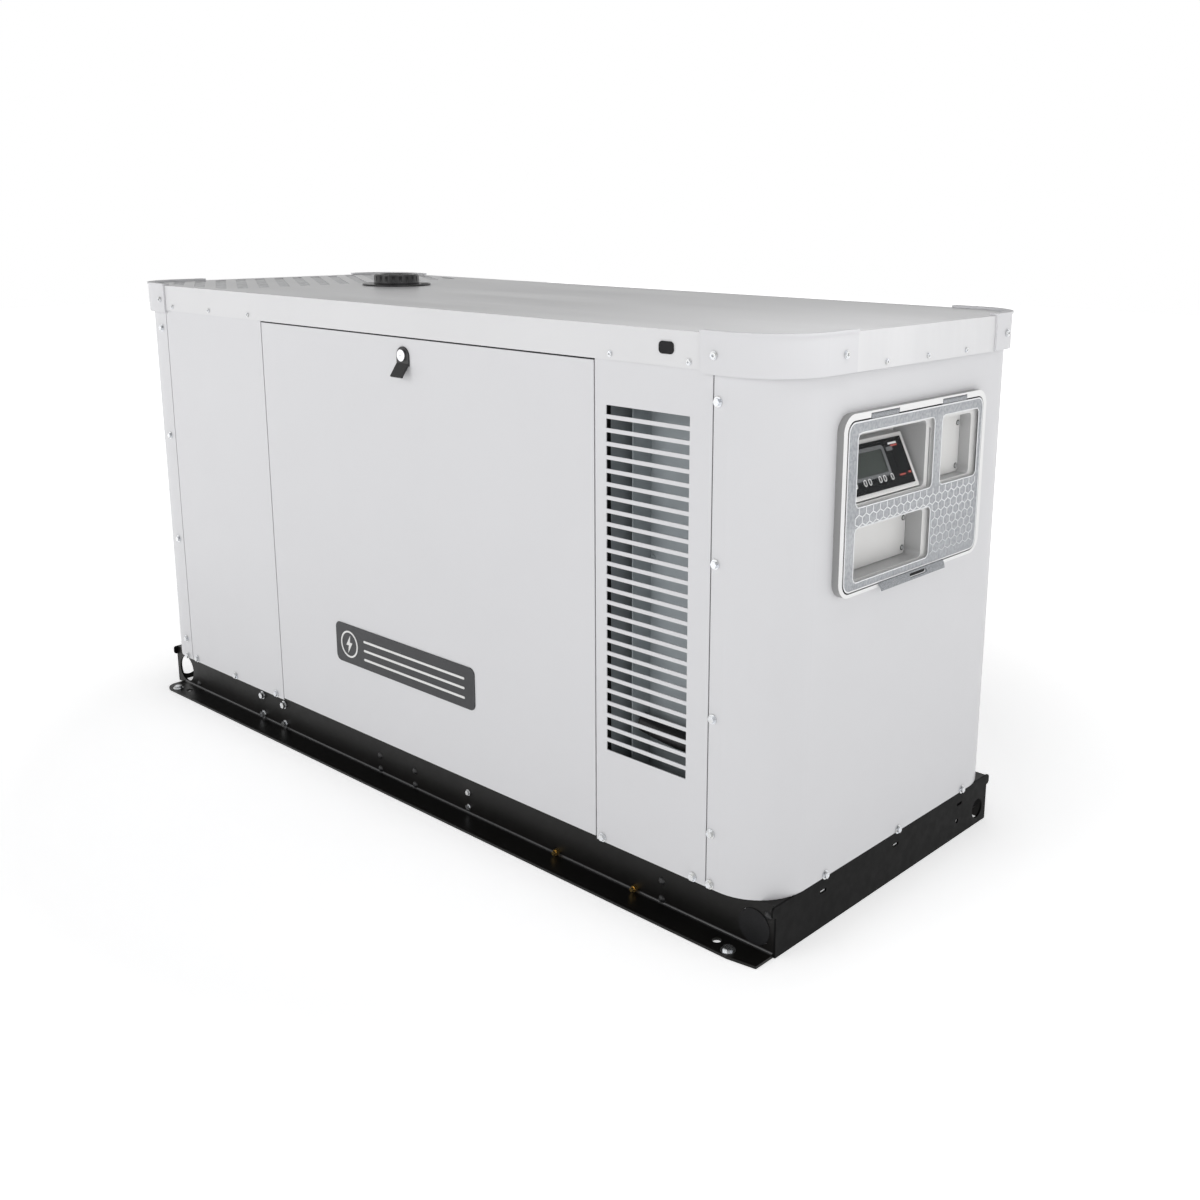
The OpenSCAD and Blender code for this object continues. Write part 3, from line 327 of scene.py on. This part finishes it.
def roof_coat():
    """The powder coat as it lies on top, with long soft streaks of painted reflection that are lighter in
    colour, and gloss that varies with them
    """
    m, nt, p = tree("roof_coat")
    co = coords(nt)
    reflection_streak = noise(nt, coords(nt, (1.2, 14, 1)), 1.4, 4, 0.55).outputs["Fac"]
    fine = noise(nt, co, 620, 2).outputs["Fac"]
    # Painted reflection: the colour is lighter along the long streaks
    col = mix(nt, ramp(nt, reflection_streak, 0.35, 0.7, 0, 1), (0.640, 0.640, 0.650), (0.675, 0.675, 0.684))
    nt.links.new(col, p.inputs["Base Color"])
    nt.links.new(ramp(nt, reflection_streak, 0.3, 0.7, 0.30, 0.40), p.inputs["Roughness"])
    add_bump(nt, p, [(fine, 0.10, 0.0002)])
    return m


def lcd():
    """The unlit grey-green of a display"""
    m, nt, p = tree("liquid_crystal")
    co = coords(nt)
    big = noise(nt, co, 14, 2).outputs["Fac"]
    nt.links.new(mix(nt, ramp(nt, big, 0.3, 0.7, 0, 1), (0.018, 0.025, 0.020), (0.028, 0.037, 0.031)),
                 p.inputs["Base Color"])
    p.inputs["Roughness"].default_value = 0.30
    p.inputs["Specular IOR Level"].default_value = 0.2
    add_bump(nt, p, [(noise(nt, co, 2200).outputs["Fac"], 0.04, 0.0001)])
    return m


def fins():
    """Radiator core: close vertical fins between flat tubes, with painted shade in the gaps between the fins
    """
    m, nt, p = tree("radiator_core")
    co = coords(nt)
    waves = []
    for direction, scale in (("Y", 120), ("Z", 32)):
        wave = nt.nodes.new("ShaderNodeTexWave")
        wave.bands_direction = direction
        wave.inputs["Scale"].default_value = scale
        nt.links.new(co, wave.inputs["Vector"])
        waves.append(wave.outputs["Fac"])
    fin, tube = waves
    # Painted shade: the colour darkens where the fin bump is low, in the gaps between fins
    col = mix(nt, ramp(nt, fin, 0.3, 0.8, 0, 1), (0.006, 0.006, 0.006), (0.05, 0.05, 0.052))
    nt.links.new(col, p.inputs["Base Color"])
    p.inputs["Roughness"].default_value = 0.6
    add_bump(nt, p, [(fin, 0.6, 0.002), (tube, 0.5, 0.001)])
    return m


M["galvanised"] = galvanised("galvanised_sheet", (0.42, 0.43, 0.44))
M["screen"] = galvanised("discharge_screen_sheet", (0.58, 0.585, 0.595))
M["baffle"] = baffle()
M["clear"] = cover_glass()
M["frost"] = glass("frosted_border", (0.50, 0.52, 0.55), 0.60, 0.35, frost=0.09, grain=160)
# Painted highlight: the raised clear lips, rim and hexagon ridges are coloured near white and nearly opaque,
# standing in for the light along their edges
M["cell"] = glass("ridge_painted_highlight", (0.92, 0.93, 0.95), 0.88, 0.22)
M["foam"] = foam()
M["roof"] = roof_coat()
M["lcd"] = lcd()
# Each moulding's second colour is the painted shade for its side walls
M["bezel"] = moulding("bezel_moulding", (0.76, 0.76, 0.76), (0.30, 0.30, 0.30), 0.55, 0.85,
                      rough=0.34, vary=0.015, blotch=8, grain=1300, bump=0.12)
M["tray"] = moulding("tray_moulding", (0.70, 0.695, 0.685), (0.44, 0.44, 0.44), 0.15, 0.45,
                     rough=0.40, vary=0.015, blotch=9, grain=1100, bump=0.10)
M["core"] = fins()

NODE_MATERIAL = {
    "base_rails": "black", "end_plates": "black_matt", "cross_members": "black", "floor_pan": "black",
    "hole_plugs": "seal", "base_bolts": "zinc", "carriage_bolts": "cap_black",
    "drain_fittings": "brass", "left_end_panel": "white", "right_end_panel": "white",
    "blank_panels": "white", "louvre_panels": "white", "inner_frame": "black", "door_pivots": "zinc",
    "roof_panel": "roof", "discharge_screen": "screen", "corner_caps": "white", "roof_screws": "zinc",
    "panel_bolts": "zinc", "fill_neck": "cap_black", "fill_cap": "cap_black",
    "front_door_skin": "white", "rear_door_skin": "white", "front_latch_plate": "plastic_black",
    "rear_latch_plate": "plastic_black", "front_latch_cylinder": "chrome",
    "rear_latch_cylinder": "chrome", "window_bezel": "bezel", "control_tray": "tray",
    "blank_plates": "tray", "controller_housing": "tray", "controller_face": "overlay",
    "display_glass": "lcd", "button_up": "key", "button_down": "key", "button_enter": "key",
    "button_auto": "key", "button_manual": "key", "button_off": "key", "clear_cover": "clear",
    "engine_block": "enamel", "cylinder_head": "cast", "exhaust_system": "hot",
    "air_cleaner": "plastic_black", "engine_accessories": "cast", "vibration_mounts": "rubber",
    "radiator": "core", "fan_shroud": "radiator", "coolant_hoses": "rubber", "fan": "fan",
    "pump_pulley": "steel", "crankshaft": "steel", "drive_belt": "rubber",
    "alternator_housing": "cast", "air_baffle": "baffle", "battery": "battery",
    "breaker": "breaker", "breaker_lever": "plastic_black", "front_door_foam": "foam",
    "rear_door_foam": "foam",
}
# Rounded edges in mm, by node; thin sheet keeps its own crisp edges
EDGE = {
    "window_bezel": 1.6, "control_tray": 0.8, "controller_housing": 2.0, "controller_face": 0.5,
    "base_bolts": 0.7, "panel_bolts": 0.6, "roof_screws": 0.5, "carriage_bolts": 0.4,
    "drain_fittings": 0.4,
    "fill_cap": 0.8, "fill_neck": 0.8, "engine_block": 2.5, "cylinder_head": 2.5, "air_cleaner": 2.0,
    "battery": 3.0, "breaker": 2.0, "breaker_lever": 1.0, "alternator_housing": 1.5, "radiator": 1.5,
    "hole_plugs": 0.5, "front_latch_cylinder": 0.5, "rear_latch_cylinder": 0.5,
    "engine_accessories": 1.5,
    "fan": 1.0, "exhaust_system": 1.5, "blank_plates": 0.4, "vibration_mounts": 1.0, "crankshaft": 1.0,
    "pump_pulley": 1.0, "front_latch_plate": 0.8, "rear_latch_plate": 0.8, "cross_members": 0.8,
}
BUTTONS = ("up", "down", "enter", "auto", "manual", "off")
EDGE.update({"button_" + name: 0.4 for name in BUTTONS})


def bevel_edges(o, width_mm):
    bevel = o.modifiers.new("bevel", "BEVEL")
    bevel.width, bevel.segments = width_mm * MM, 2
    bevel.limit_method, bevel.angle_limit = "ANGLE", math.radians(35)


for node_name, obj in NODES.items():
    obj.data.materials.clear()
    obj.data.materials.append(M[NODE_MATERIAL[node_name]])
    if node_name in EDGE:
        weld = obj.modifiers.new("weld", "WELD")
        weld.merge_threshold = 0.02 * MM
        bevel_edges(obj, EDGE[node_name])


# ---------- mesh helpers ----------

def piece(name, verts, faces, material, body, slot, bevel=0.0, smooth=False):
    """A mesh of its own that rides a body and takes one of the materials; the slot argument is not used"""
    me = bpy.data.meshes.new(name)
    me.from_pydata([tuple(v) for v in verts], [], faces)
    me.validate()
    me.update()
    bm = bmesh.new()
    bm.from_mesh(me)
    bmesh.ops.recalc_face_normals(bm, faces=bm.faces)
    bm.to_mesh(me)
    bm.free()
    o = bpy.data.objects.new(name, me)
    bpy.context.scene.collection.objects.link(o)
    me.materials.append(M[material])
    if smooth:
        for face in me.polygons:
            face.use_smooth = True
    if bevel:
        bevel_edges(o, bevel)
    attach(o, body)
    return o


def rounded(a0, a1, b0, b1, r, n=8):
    """The outline of a rectangle with corners of radius r"""
    corners = ((a1 - r, b1 - r, 0), (a0 + r, b1 - r, 90), (a0 + r, b0 + r, 180), (a1 - r, b0 + r, 270))
    pts = []
    for ca, cb, start in corners:
        for i in range(n + 1):
            t = math.radians(start + 90 * i / n)
            pts.append((ca + r * math.cos(t), cb + r * math.sin(t)))
    return pts


class Shape:
    """Gathers prisms and rings into one mesh; place turns (u, v, w) in mm into metres"""

    def __init__(self, place):
        self.v, self.f, self.place = [], [], place

    def prism(self, outline, w0, w1):
        n, k = len(outline), len(self.v)
        self.v += [self.place(u, v, w) for w in (w0, w1) for u, v in outline]
        self.f += [tuple(range(k, k + n)), tuple(range(k + n, k + 2 * n))]
        self.f += [(k + i, k + (i + 1) % n, k + n + (i + 1) % n, k + n + i) for i in range(n)]

    def ring(self, outer, inner, w0, w1):
        n, k = len(outer), len(self.v)
        for outline in (outer, inner):
            for w in (w0, w1):
                self.v += [self.place(u, v, w) for u, v in outline]
        o0, o1, i0, i1 = k, k + n, k + 2 * n, k + 3 * n
        for i in range(n):
            j = (i + 1) % n
            self.f += [(o0 + i, o0 + j, o1 + j, o1 + i), (i0 + i, i0 + j, i1 + j, i1 + i),
                       (o0 + i, o0 + j, i0 + j, i0 + i), (o1 + i, o1 + j, i1 + j, i1 + i)]

    def make(self, *args, **kw):
        return piece(args[0], self.v, self.f, *args[1:], **kw)


def at_front(u, v, w):
    """u along X, v up, w out of the front door's face"""
    return Vector((u, -(SIDE_Y + w), v)) * MM


def at_rear(u, v, w):
    return Vector((u, SIDE_Y + w, v)) * MM


def at_right(u, v, w):
    """u along Y, v up, w along X"""
    return Vector((w, u, v)) * MM


def along_rail(sign):
    """A place with u outward along Y (sign -1 is the front), v up and w along X"""
    return lambda u, v, w: Vector((w, sign * u, v)) * MM


def circle(cu, cv, r, n):
    turns = [2 * math.pi * i / n for i in range(n)]
    return [(cu + r * math.cos(t), cv + r * math.sin(t)) for t in turns]


def box_mm(node):
    """A node's box in mm as x0, x1, y0, y1, z0, z1"""
    lo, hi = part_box(node)
    return [v / MM for pair in zip(lo, hi) for v in pair]


# Faces that pieces stand on, in mm
SIDE_Y = -box_mm("front_door_skin")[2]
COVER_IN = box_mm("control_tray")[1] + 4.0
COVER_OUT = COVER_IN + 3.0
# Heights of thin layers over the face they stand on, in mm
PRINT_BACK, PRINT_FRONT = 2.02, 2.25


# ---------- door details ----------

def foam_panel(name, node, sign, body):
    """Acoustic foam with rows of low waves on its inner face"""
    lo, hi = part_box(node)
    x0, x1, z0, z1 = lo.x, hi.x, lo.z, hi.z
    back = lo.y if sign < 0 else hi.y
    depth = hi.y - lo.y
    pitch, crown_width = 0.045, 0.012
    nx, nz = 180, 138
    verts, faces = [], []
    for j in range(nz + 1):
        for i in range(nx + 1):
            a, b = i / nx, j / nz
            x, z = x0 + (x1 - x0) * a, z0 + (z1 - z0) * b
            edge = min(a * (x1 - x0), (1 - a) * (x1 - x0), b * (z1 - z0), (1 - b) * (z1 - z0))
            crown = min(1.0, edge / crown_width) ** 0.5
            wave = 0.5 + 0.5 * math.sin(x * 2 * math.pi / pitch) * math.sin(z * 2 * math.pi / pitch)
            h = depth * (0.45 + 0.55 * wave) * (0.35 + 0.65 * crown)
            verts.append((x, back - sign * h, z))
    row = nx + 1
    for j in range(nz):
        for i in range(nx):
            faces.append((j * row + i, j * row + i + 1, (j + 1) * row + i + 1, (j + 1) * row + i))
    base = len(verts)
    rim = ([(i, 0) for i in range(nx)] + [(nx, j) for j in range(nz)]
           + [(i, nz) for i in range(nx, 0, -1)] + [(0, j) for j in range(nz, 0, -1)])
    for i, j in rim:
        x, _, z = verts[j * row + i]
        verts.append((x, back, z))
    n = len(rim)
    for k in range(n):
        (i, j), (p, q) = rim[k], rim[(k + 1) % n]
        faces.append((j * row + i, q * row + p, base + (k + 1) % n, base + k))
    faces.append(tuple(range(base, base + n)))
    o = piece(name, verts, faces, "foam", body, "foam", smooth=True)
    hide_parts(node)


foam_panel("front_foam_liner", "front_door_foam", -1, "front_door")
foam_panel("rear_foam_liner", "rear_door_foam", 1, "rear_door")


def badge():
    """A plain raised plaque with a bolt sign in a ring and three bars, and no lettering"""
    door_x, _, _, _, door_z, _ = box_mm("front_door_skin")
    x0, z0 = door_x + 225.2, door_z + 151
    x1, z1 = x0 + 460, z0 + 88
    mid_z, ring_x = (z0 + z1) / 2, x0 + 48
    sign_back, sign_front = 1.55, 2.1
    plaque = Shape(at_front)
    plaque.prism(rounded(x0, x1, z0, z1, 14), 0.05, 1.6)
    plaque.make("badge_plaque", "slate", "front_door", "black_plastic", bevel=0.5)
    sign = Shape(at_front)
    sign.ring(circle(ring_x, mid_z, 30, 48), circle(ring_x, mid_z, 26, 48), sign_back, sign_front)
    flash = ((4, 20), (-11, -3), (-2, -3), (-5, -20), (11, 4), (2, 4))
    sign.prism([(ring_x + a, mid_z + b) for a, b in flash], sign_back, sign_front)
    for k in range(3):
        bar_z = mid_z + 15 - 20 * k
        sign.prism(rounded(ring_x + 52, x1 - 30, bar_z, bar_z + 5, 2.4, 4), sign_back, sign_front)
    sign.make("badge_sign", "bar", "front_door", "black_plastic")


def door_seals():
    """Dark rubber strip behind the gap along the top of each door"""
    x0, x1, _, _, _, top = box_mm("front_door_skin")
    for name, place in (("front", at_front), ("rear", at_rear)):
        strip = Shape(place)
        strip.prism(rounded(x0 - 1, x1 + 1, top + 0.5, top + 3.4, 0.6, 2), -4.4, -0.9)
        strip.make(name + "_door_seal", "seal", "frame", "rubber")


def bend_lines():
    """The rounded inner bend between each rail's web and its foot, which catches the light; its enamel is
    also painted lighter than the rails' as a highlight
    """
    ear, foot_top, r, steps = 9.0, 5.0, 4.0, 6
    web_y, rail_end = -box_mm("end_plates")[2] - ear, box_mm("base_rails")[1]
    long_end, short_end = rail_end - 1.5, rail_end - 30.5
    arc = [(web_y, foot_top), (web_y + r, foot_top)]
    for i in range(1, steps):
        t = math.radians(90 * i / steps)
        arc.append((web_y + r - r * math.sin(t), foot_top + r - r * math.cos(t)))
    arc.append((web_y, foot_top + r))
    for name, sign, end_a, end_b in (("front", -1, -short_end, long_end), ("rear", 1, -long_end, short_end)):
        line = Shape(along_rail(sign))
        line.prism(arc, end_a, end_b)
        line.make(name + "_rail_bend", "bend", "frame", "base_paint")


def conduit():
    """Black corrugated conduit that crosses behind the lowest louvres, front side"""
    baffle_x0, baffle_x1, baffle_y, _, _, _ = box_mm("air_baffle")
    x0, x1 = baffle_x0 + 49, baffle_x1 - 2
    cy, cz, sag = baffle_y + 20, 322, 10
    r_groove, r_ridge = 14.5, 17.0
    n, rings = 28, 62
    verts, faces = [], []
    for i in range(rings + 1):
        x = x0 + (x1 - x0) * i / rings
        r = r_groove if i % 2 else r_ridge
        drop = sag * math.cos(math.pi * (i / rings - 0.5))
        verts += [Vector((x, y, z - drop)) * MM for y, z in circle(cy, cz, r, n)]
    for i in range(rings):
        for k in range(n):
            a, b = i * n + k, i * n + (k + 1) % n
            faces.append((a, b, b + n, a + n))
    faces += [tuple(range(n)), tuple(range(rings * n, rings * n + n))]
    piece("louvre_conduit", verts, faces, "plastic_black", "frame", "black_plastic", smooth=True)


badge()
door_seals()
bend_lines()
conduit()


# ---------- the control window ----------

# The controller's face leans back by SLOPE from its foot, a point in X and Z in mm
SLOPE = math.radians(26.3)
SLOPE_FOOT = (981.0, 753.0)
# Height of the row of keys up the face
KEY_V = 22


def at_slope(u, v, w):
    """u along Y, v up the controller's face, w out of it"""
    x = SLOPE_FOOT[0] + w * math.cos(SLOPE) - v * math.sin(SLOPE)
    z = SLOPE_FOOT[1] + w * math.sin(SLOPE) + v * math.cos(SLOPE)
    return Vector((x, u, z)) * MM


def oval(cu, cv, r, half=1.5, n=10):
    """An upright oval: two half circles of radius r, half mm above and below the middle"""
    arc = [(r * math.cos(math.pi * i / n), half + r * math.sin(math.pi * i / n)) for i in range(n + 1)]
    return [(cu + s * a, cv + s * b) for s in (1, -1) for a, b in arc]


def controller_details():
    """Frame of the display, the ring on each key, the accents and the selector's hood"""
    _, _, glass_a, glass_b, _, _ = box_mm("display_glass")
    lens = Shape(at_slope)
    lens.ring(rounded(glass_a - 6.3, glass_b + 6.3, 25.5, 79, 8),
              rounded(glass_a + 1.2, glass_b - 1.2, 31.5, 72.5, 3), PRINT_BACK, 3.4)
    lens.make("display_frame", "grey", "frame", "panel_black", bevel=0.4)
    for name in BUTTONS:
        _, _, y0, y1, _, _ = box_mm("button_" + name)
        mid = (y0 + y1) / 2
        mark = Shape(at_slope)
        mark.ring(oval(mid, KEY_V, 4.3), oval(mid, KEY_V, 2.9), 3.2, 3.45)
        mark.make("key_ring_" + name, "ink", "key_" + name, "button_plastic")
    prints = (("face_stripe_light", "ink", ((-40, -14, 76.5, 80),)),
              ("face_accents", "red", ((-34, -14, 72.5, 75.5), (-36, -18, 20, 22.6), (-8, 0, 21, 24.6))))
    for name, material, patches in prints:
        shape = Shape(at_slope)
        for patch in patches:
            shape.prism(rounded(*patch, 0.8, 3), PRINT_BACK, PRINT_FRONT)
        shape.make(name, material, "frame", "panel_black")
    grip = Shape(at_slope)
    grip.prism(rounded(-51, -32, 66, 73, 2, 4), PRINT_BACK, 3.2)
    grip.make("selector_hood", "grey", "frame", "panel_black", bevel=0.3)


def cover_layout():
    """Edges of the cover in mm, and its three clear windows as (y0, y1, z0, z1)"""
    _, _, bezel_y0, bezel_y1, bezel_z0, bezel_z1 = box_mm("window_bezel")
    y0, y1, z0, z1 = bezel_y0 + 14, bezel_y1 - 14, bezel_z0 + 9, bezel_z1 - 14
    side_a, side_b, top, foot = y0 + 27, y1 - 14, z1 - 19, z0 + 14
    post_a, post_b = 45.0, 72.0
    band_low, band_high = 707.0, 742.0
    upper = (side_a, post_a, band_high, top)
    right = (post_b, side_b, band_high, top)
    lower = (side_a, post_a, foot, band_low)
    return y0, y1, z0, z1, (upper, right, lower)


def cover_outline(layout, out, r):
    """The cover's outline, out mm outside its edges"""
    y0, y1, z0, z1, _ = layout
    return rounded(y0 - out, y1 + out, z0 - out, z1 + out, r)


def frosted_areas():
    """Frosting round the clear windows, with a raised lip on each and a rim round the cover"""
    layout = cover_layout()
    top, right, low = layout[4]
    w0, w1 = COVER_OUT + 0.02, COVER_OUT + 0.3
    plate = Shape(at_right)
    plate.ring(cover_outline(layout, -1, 17), rounded(top[0], right[1], low[2], top[3], 0.5), w0, w1)
    strips = ((top[1], right[0], top[2], top[3]), (top[0], right[1], low[3], top[2]),
              (low[1], right[1], low[2], low[3]))
    for a0, a1, b0, b1 in strips:
        plate.prism([(a0, b0), (a1, b0), (a1, b1), (a0, b1)], w0, w1)
    plate.make("cover_frosting", "frost", "control_cover", "clear_cover")
    lips = Shape(at_right)
    for a0, a1, b0, b1 in (top, right, low):
        lips.ring(rounded(a0 - 2, a1 + 2, b0 - 2, b1 + 2, 12), rounded(a0, a1, b0, b1, 10),
                  w1 - 0.1, w1 + 0.7)
    lips.make("cover_window_lips", "cell", "control_cover", "clear_cover", bevel=0.2)
    rim = Shape(at_right)
    rim.ring(cover_outline(layout, 0.6, 18), cover_outline(layout, -1.8, 16), w1 - 0.1, w1 + 0.5)
    rim.make("cover_rim", "cell", "control_cover", "clear_cover", bevel=0.2)


def honeycomb():
    """Raised hexagon outlines over the band and the lower right of the cover, thinner further down"""
    top, right, low = cover_layout()[4]
    w0, w1 = COVER_OUT + 0.28, COVER_OUT + 0.75
    cell_w, cell_h = 21.0, 20.0
    half_thin, half_gain = 0.38, 0.62
    ridge = Shape(at_right)

    def inside(u, v):
        band = top[0] - 0.5 <= u <= right[1] + 0.5 and low[3] - 1 <= v <= top[2] + 1
        block = low[1] + 1 <= u <= right[1] + 0.5 and low[2] - 1 <= v <= top[2] + 1
        return band or block

    def bar(a, b):
        (ua, va), (ub, vb) = a, b
        if not (inside(ua, va) and inside(ub, vb)):
            return
        length = math.hypot(ub - ua, vb - va)
        half = half_thin + half_gain * max(0.0, ((va + vb) / 2 - low[2]) / (top[2] - low[2]))
        nu, nv = -(vb - va) / length * half, (ub - ua) / length * half
        ridge.prism([(ua + nu, va + nv), (ub + nu, vb + nv), (ub - nu, vb - nv), (ua - nu, va - nv)],
                    w0, w1)

    rows = int((top[2] - low[2]) / (0.75 * cell_h)) + 1
    columns = int((right[1] - top[0]) / cell_w) + 2
    for j in range(rows):
        cv = top[2] - 8 - j * 0.75 * cell_h
        for i in range(columns):
            cu = top[0] + (i + 0.5 * (j % 2)) * cell_w
            left, peak, mate = cu - cell_w / 2, (cu, cv + cell_h / 2), cu + cell_w / 2
            bar((left, cv - cell_h / 4), (left, cv + cell_h / 4))
            bar((left, cv + cell_h / 4), peak)
            bar(peak, (mate, cv + cell_h / 4))
    ridge.make("cover_honeycomb", "cell", "control_cover", "clear_cover")


def cover_gasket():
    """Dark seal under the edge of the cover, seen in the gap round it"""
    layout = cover_layout()
    seal = Shape(at_right)
    seal.ring(cover_outline(layout, 2.4, 19), cover_outline(layout, -3, 14), COVER_IN - 3.9, COVER_IN - 0.4)
    seal.make("cover_gasket", "seal", "frame", "rubber")


def pocket_screws():
    """Zinc screw heads with a dark washer over the four corners of both blank plates"""
    _, plate_x, plate_y0, plate_y1, plate_z0, plate_z1 = box_mm("blank_plates")
    y0, y1, z0, z1 = plate_y0 - 1, plate_y1 + 1, plate_z0 - 1, plate_z1 + 1
    upper_face, step_back = plate_x - 2.4, 11
    upper, lower = (75, y1, 746, z1), (y0, 32, z0, 704)
    heads, washers = Shape(at_right), Shape(at_right)
    for (a0, a1, b0, b1), back in ((upper, upper_face), (lower, upper_face - step_back)):
        for y in (a0 + 9, a1 - 9):
            for z in (b0 + 12, b1 - 20):
                washers.prism(circle(y, z, 5.0, 20), back + 0.02, back + 0.5)
                heads.ring(circle(y, z, 3.7, 20), circle(y, z, 1.5, 20), back + 1.9, back + 2.7)
    heads.make("pocket_screw_heads", "zinc", "frame", "zinc", bevel=0.3)
    washers.make("pocket_screw_washers", "seal", "frame", "rubber")


def pull_latch():
    """Dark latch block in the slot of the pull tab"""
    mid_z = box_mm("clear_cover")[4] + 8.5
    latch = Shape(at_right)
    latch.prism(rounded(-18, 34, mid_z - 3.0, mid_z + 3.0, 2.9, 5), COVER_OUT + 0.6, COVER_OUT + 2.0)
    latch.make("pull_tab_latch", "seal", "control_cover", "clear_cover")


def louvre_ducts():
    """Coated side walls that lead from the louvres back to the sound baffle"""
    baffle_x, _, _, baffle_y, baffle_z0, z1 = box_mm("air_baffle")
    x0, thickness, z0 = baffle_x + 7.6, 1.2, baffle_z0 + 2
    y0, y1 = baffle_y - 45, baffle_y + 22
    for name, sign in (("front", -1), ("rear", 1)):
        wall = Shape(along_rail(sign))
        wall.prism([(y0, z0), (y1, z0), (y1, z1), (y0, z1)], x0, x0 + thickness)
        wall.make(name + "_louvre_duct", "baffle", "frame", "baffle_paint", bevel=0.3)


controller_details()
pocket_screws()
pull_latch()
louvre_ducts()
frosted_areas()
honeycomb()
cover_gasket()


# ---------- floor, backdrop and light ----------

def floor():
    """Pale floor that glows by its own emission, weaker near the object so that its shadow shows and brighter
    further out
    """
    m, nt, p = tree("studio_floor")
    co = coords(nt)
    cloud = noise(nt, co, 0.7).outputs["Fac"]
    nt.links.new(mix(nt, cloud, (0.93, 0.93, 0.935), (0.95, 0.95, 0.95)), p.inputs["Base Color"])
    p.inputs["Roughness"].default_value = 0.75
    p.inputs["Specular IOR Level"].default_value = 0.15
    p.inputs["Emission Color"].default_value = (1, 1, 1, 1)
    reach = nt.nodes.new("ShaderNodeVectorMath")
    reach.operation = "LENGTH"
    nt.links.new(co, reach.inputs[0])
    # Floor glow: emission rises from 0.52 near the object to 1.0 beyond 2.4 m
    nt.links.new(ramp(nt, reach.outputs["Value"], 1.1, 2.4, 0.52, 1.0), p.inputs["Emission Strength"])
    size, n, drop = 14.0, 8, 0.0005
    spots = [(2 * i / n - 1) * size for i in range(n + 1)]
    verts = [(x, y, -drop) for y in spots for x in spots]
    row = n + 1
    faces = [(k, k + 1, k + row + 1, k + row) for j in range(n) for k in range(j * row, j * row + n)]
    me = bpy.data.meshes.new("floor")
    me.from_pydata(verts, [], faces)
    me.materials.append(m)
    o = bpy.data.objects.new("floor", me)
    bpy.context.scene.collection.objects.link(o)


def backdrop():
    """White surroundings, bright at the horizon and dim overhead so that the roof is darkest"""
    world = bpy.data.worlds.new("studio")
    bpy.context.scene.world = world
    world.use_nodes = True
    nt = world.node_tree
    tc = nt.nodes.new("ShaderNodeTexCoord")
    height = split(nt, tc.outputs["Generated"])[2]
    background = nt.nodes["Background"]
    nt.links.new(ramp(nt, height, 0.26, 0.72, 1.0, 0.12), background.inputs["Strength"])
    background.inputs["Color"].default_value = (1.0, 1.0, 1.0, 1)
    bpy.context.scene.view_settings.view_transform = "Standard"
    bpy.context.scene.view_settings.look = "None"


# Soft lights as name, place, aim, size in metres, power in watts
LIGHTS = (
    ("key", (-1.2, -4.5, 2.6), (0, 0, 0.5), (3.0, 2.0), 34),
    ("corner", (2.4, -1.3, 2.4), (0.95, -0.30, 0.95), (0.8, 0.8), 3),
    ("roof", (1.15, -0.25, 1.50), (0.80, -0.15, 1.07), (0.4, 0.4), 1.6),
    ("end", (4.0, 0.8, 1.8), (0.97, 0, 0.6), (2.0, 2.0), 4),
)


def light(name, place, aim, size, power):
    data = bpy.data.lights.new(name, "AREA")
    data.shape = "RECTANGLE"
    data.size, data.size_y = size
    data.energy = power
    o = bpy.data.objects.new(name, data)
    o.location = place
    o.rotation_euler = (Vector(aim) - Vector(place)).to_track_quat("-Z", "Y").to_euler()
    bpy.context.scene.collection.objects.link(o)


floor()
backdrop()
for lamp in LIGHTS:
    light(*lamp)
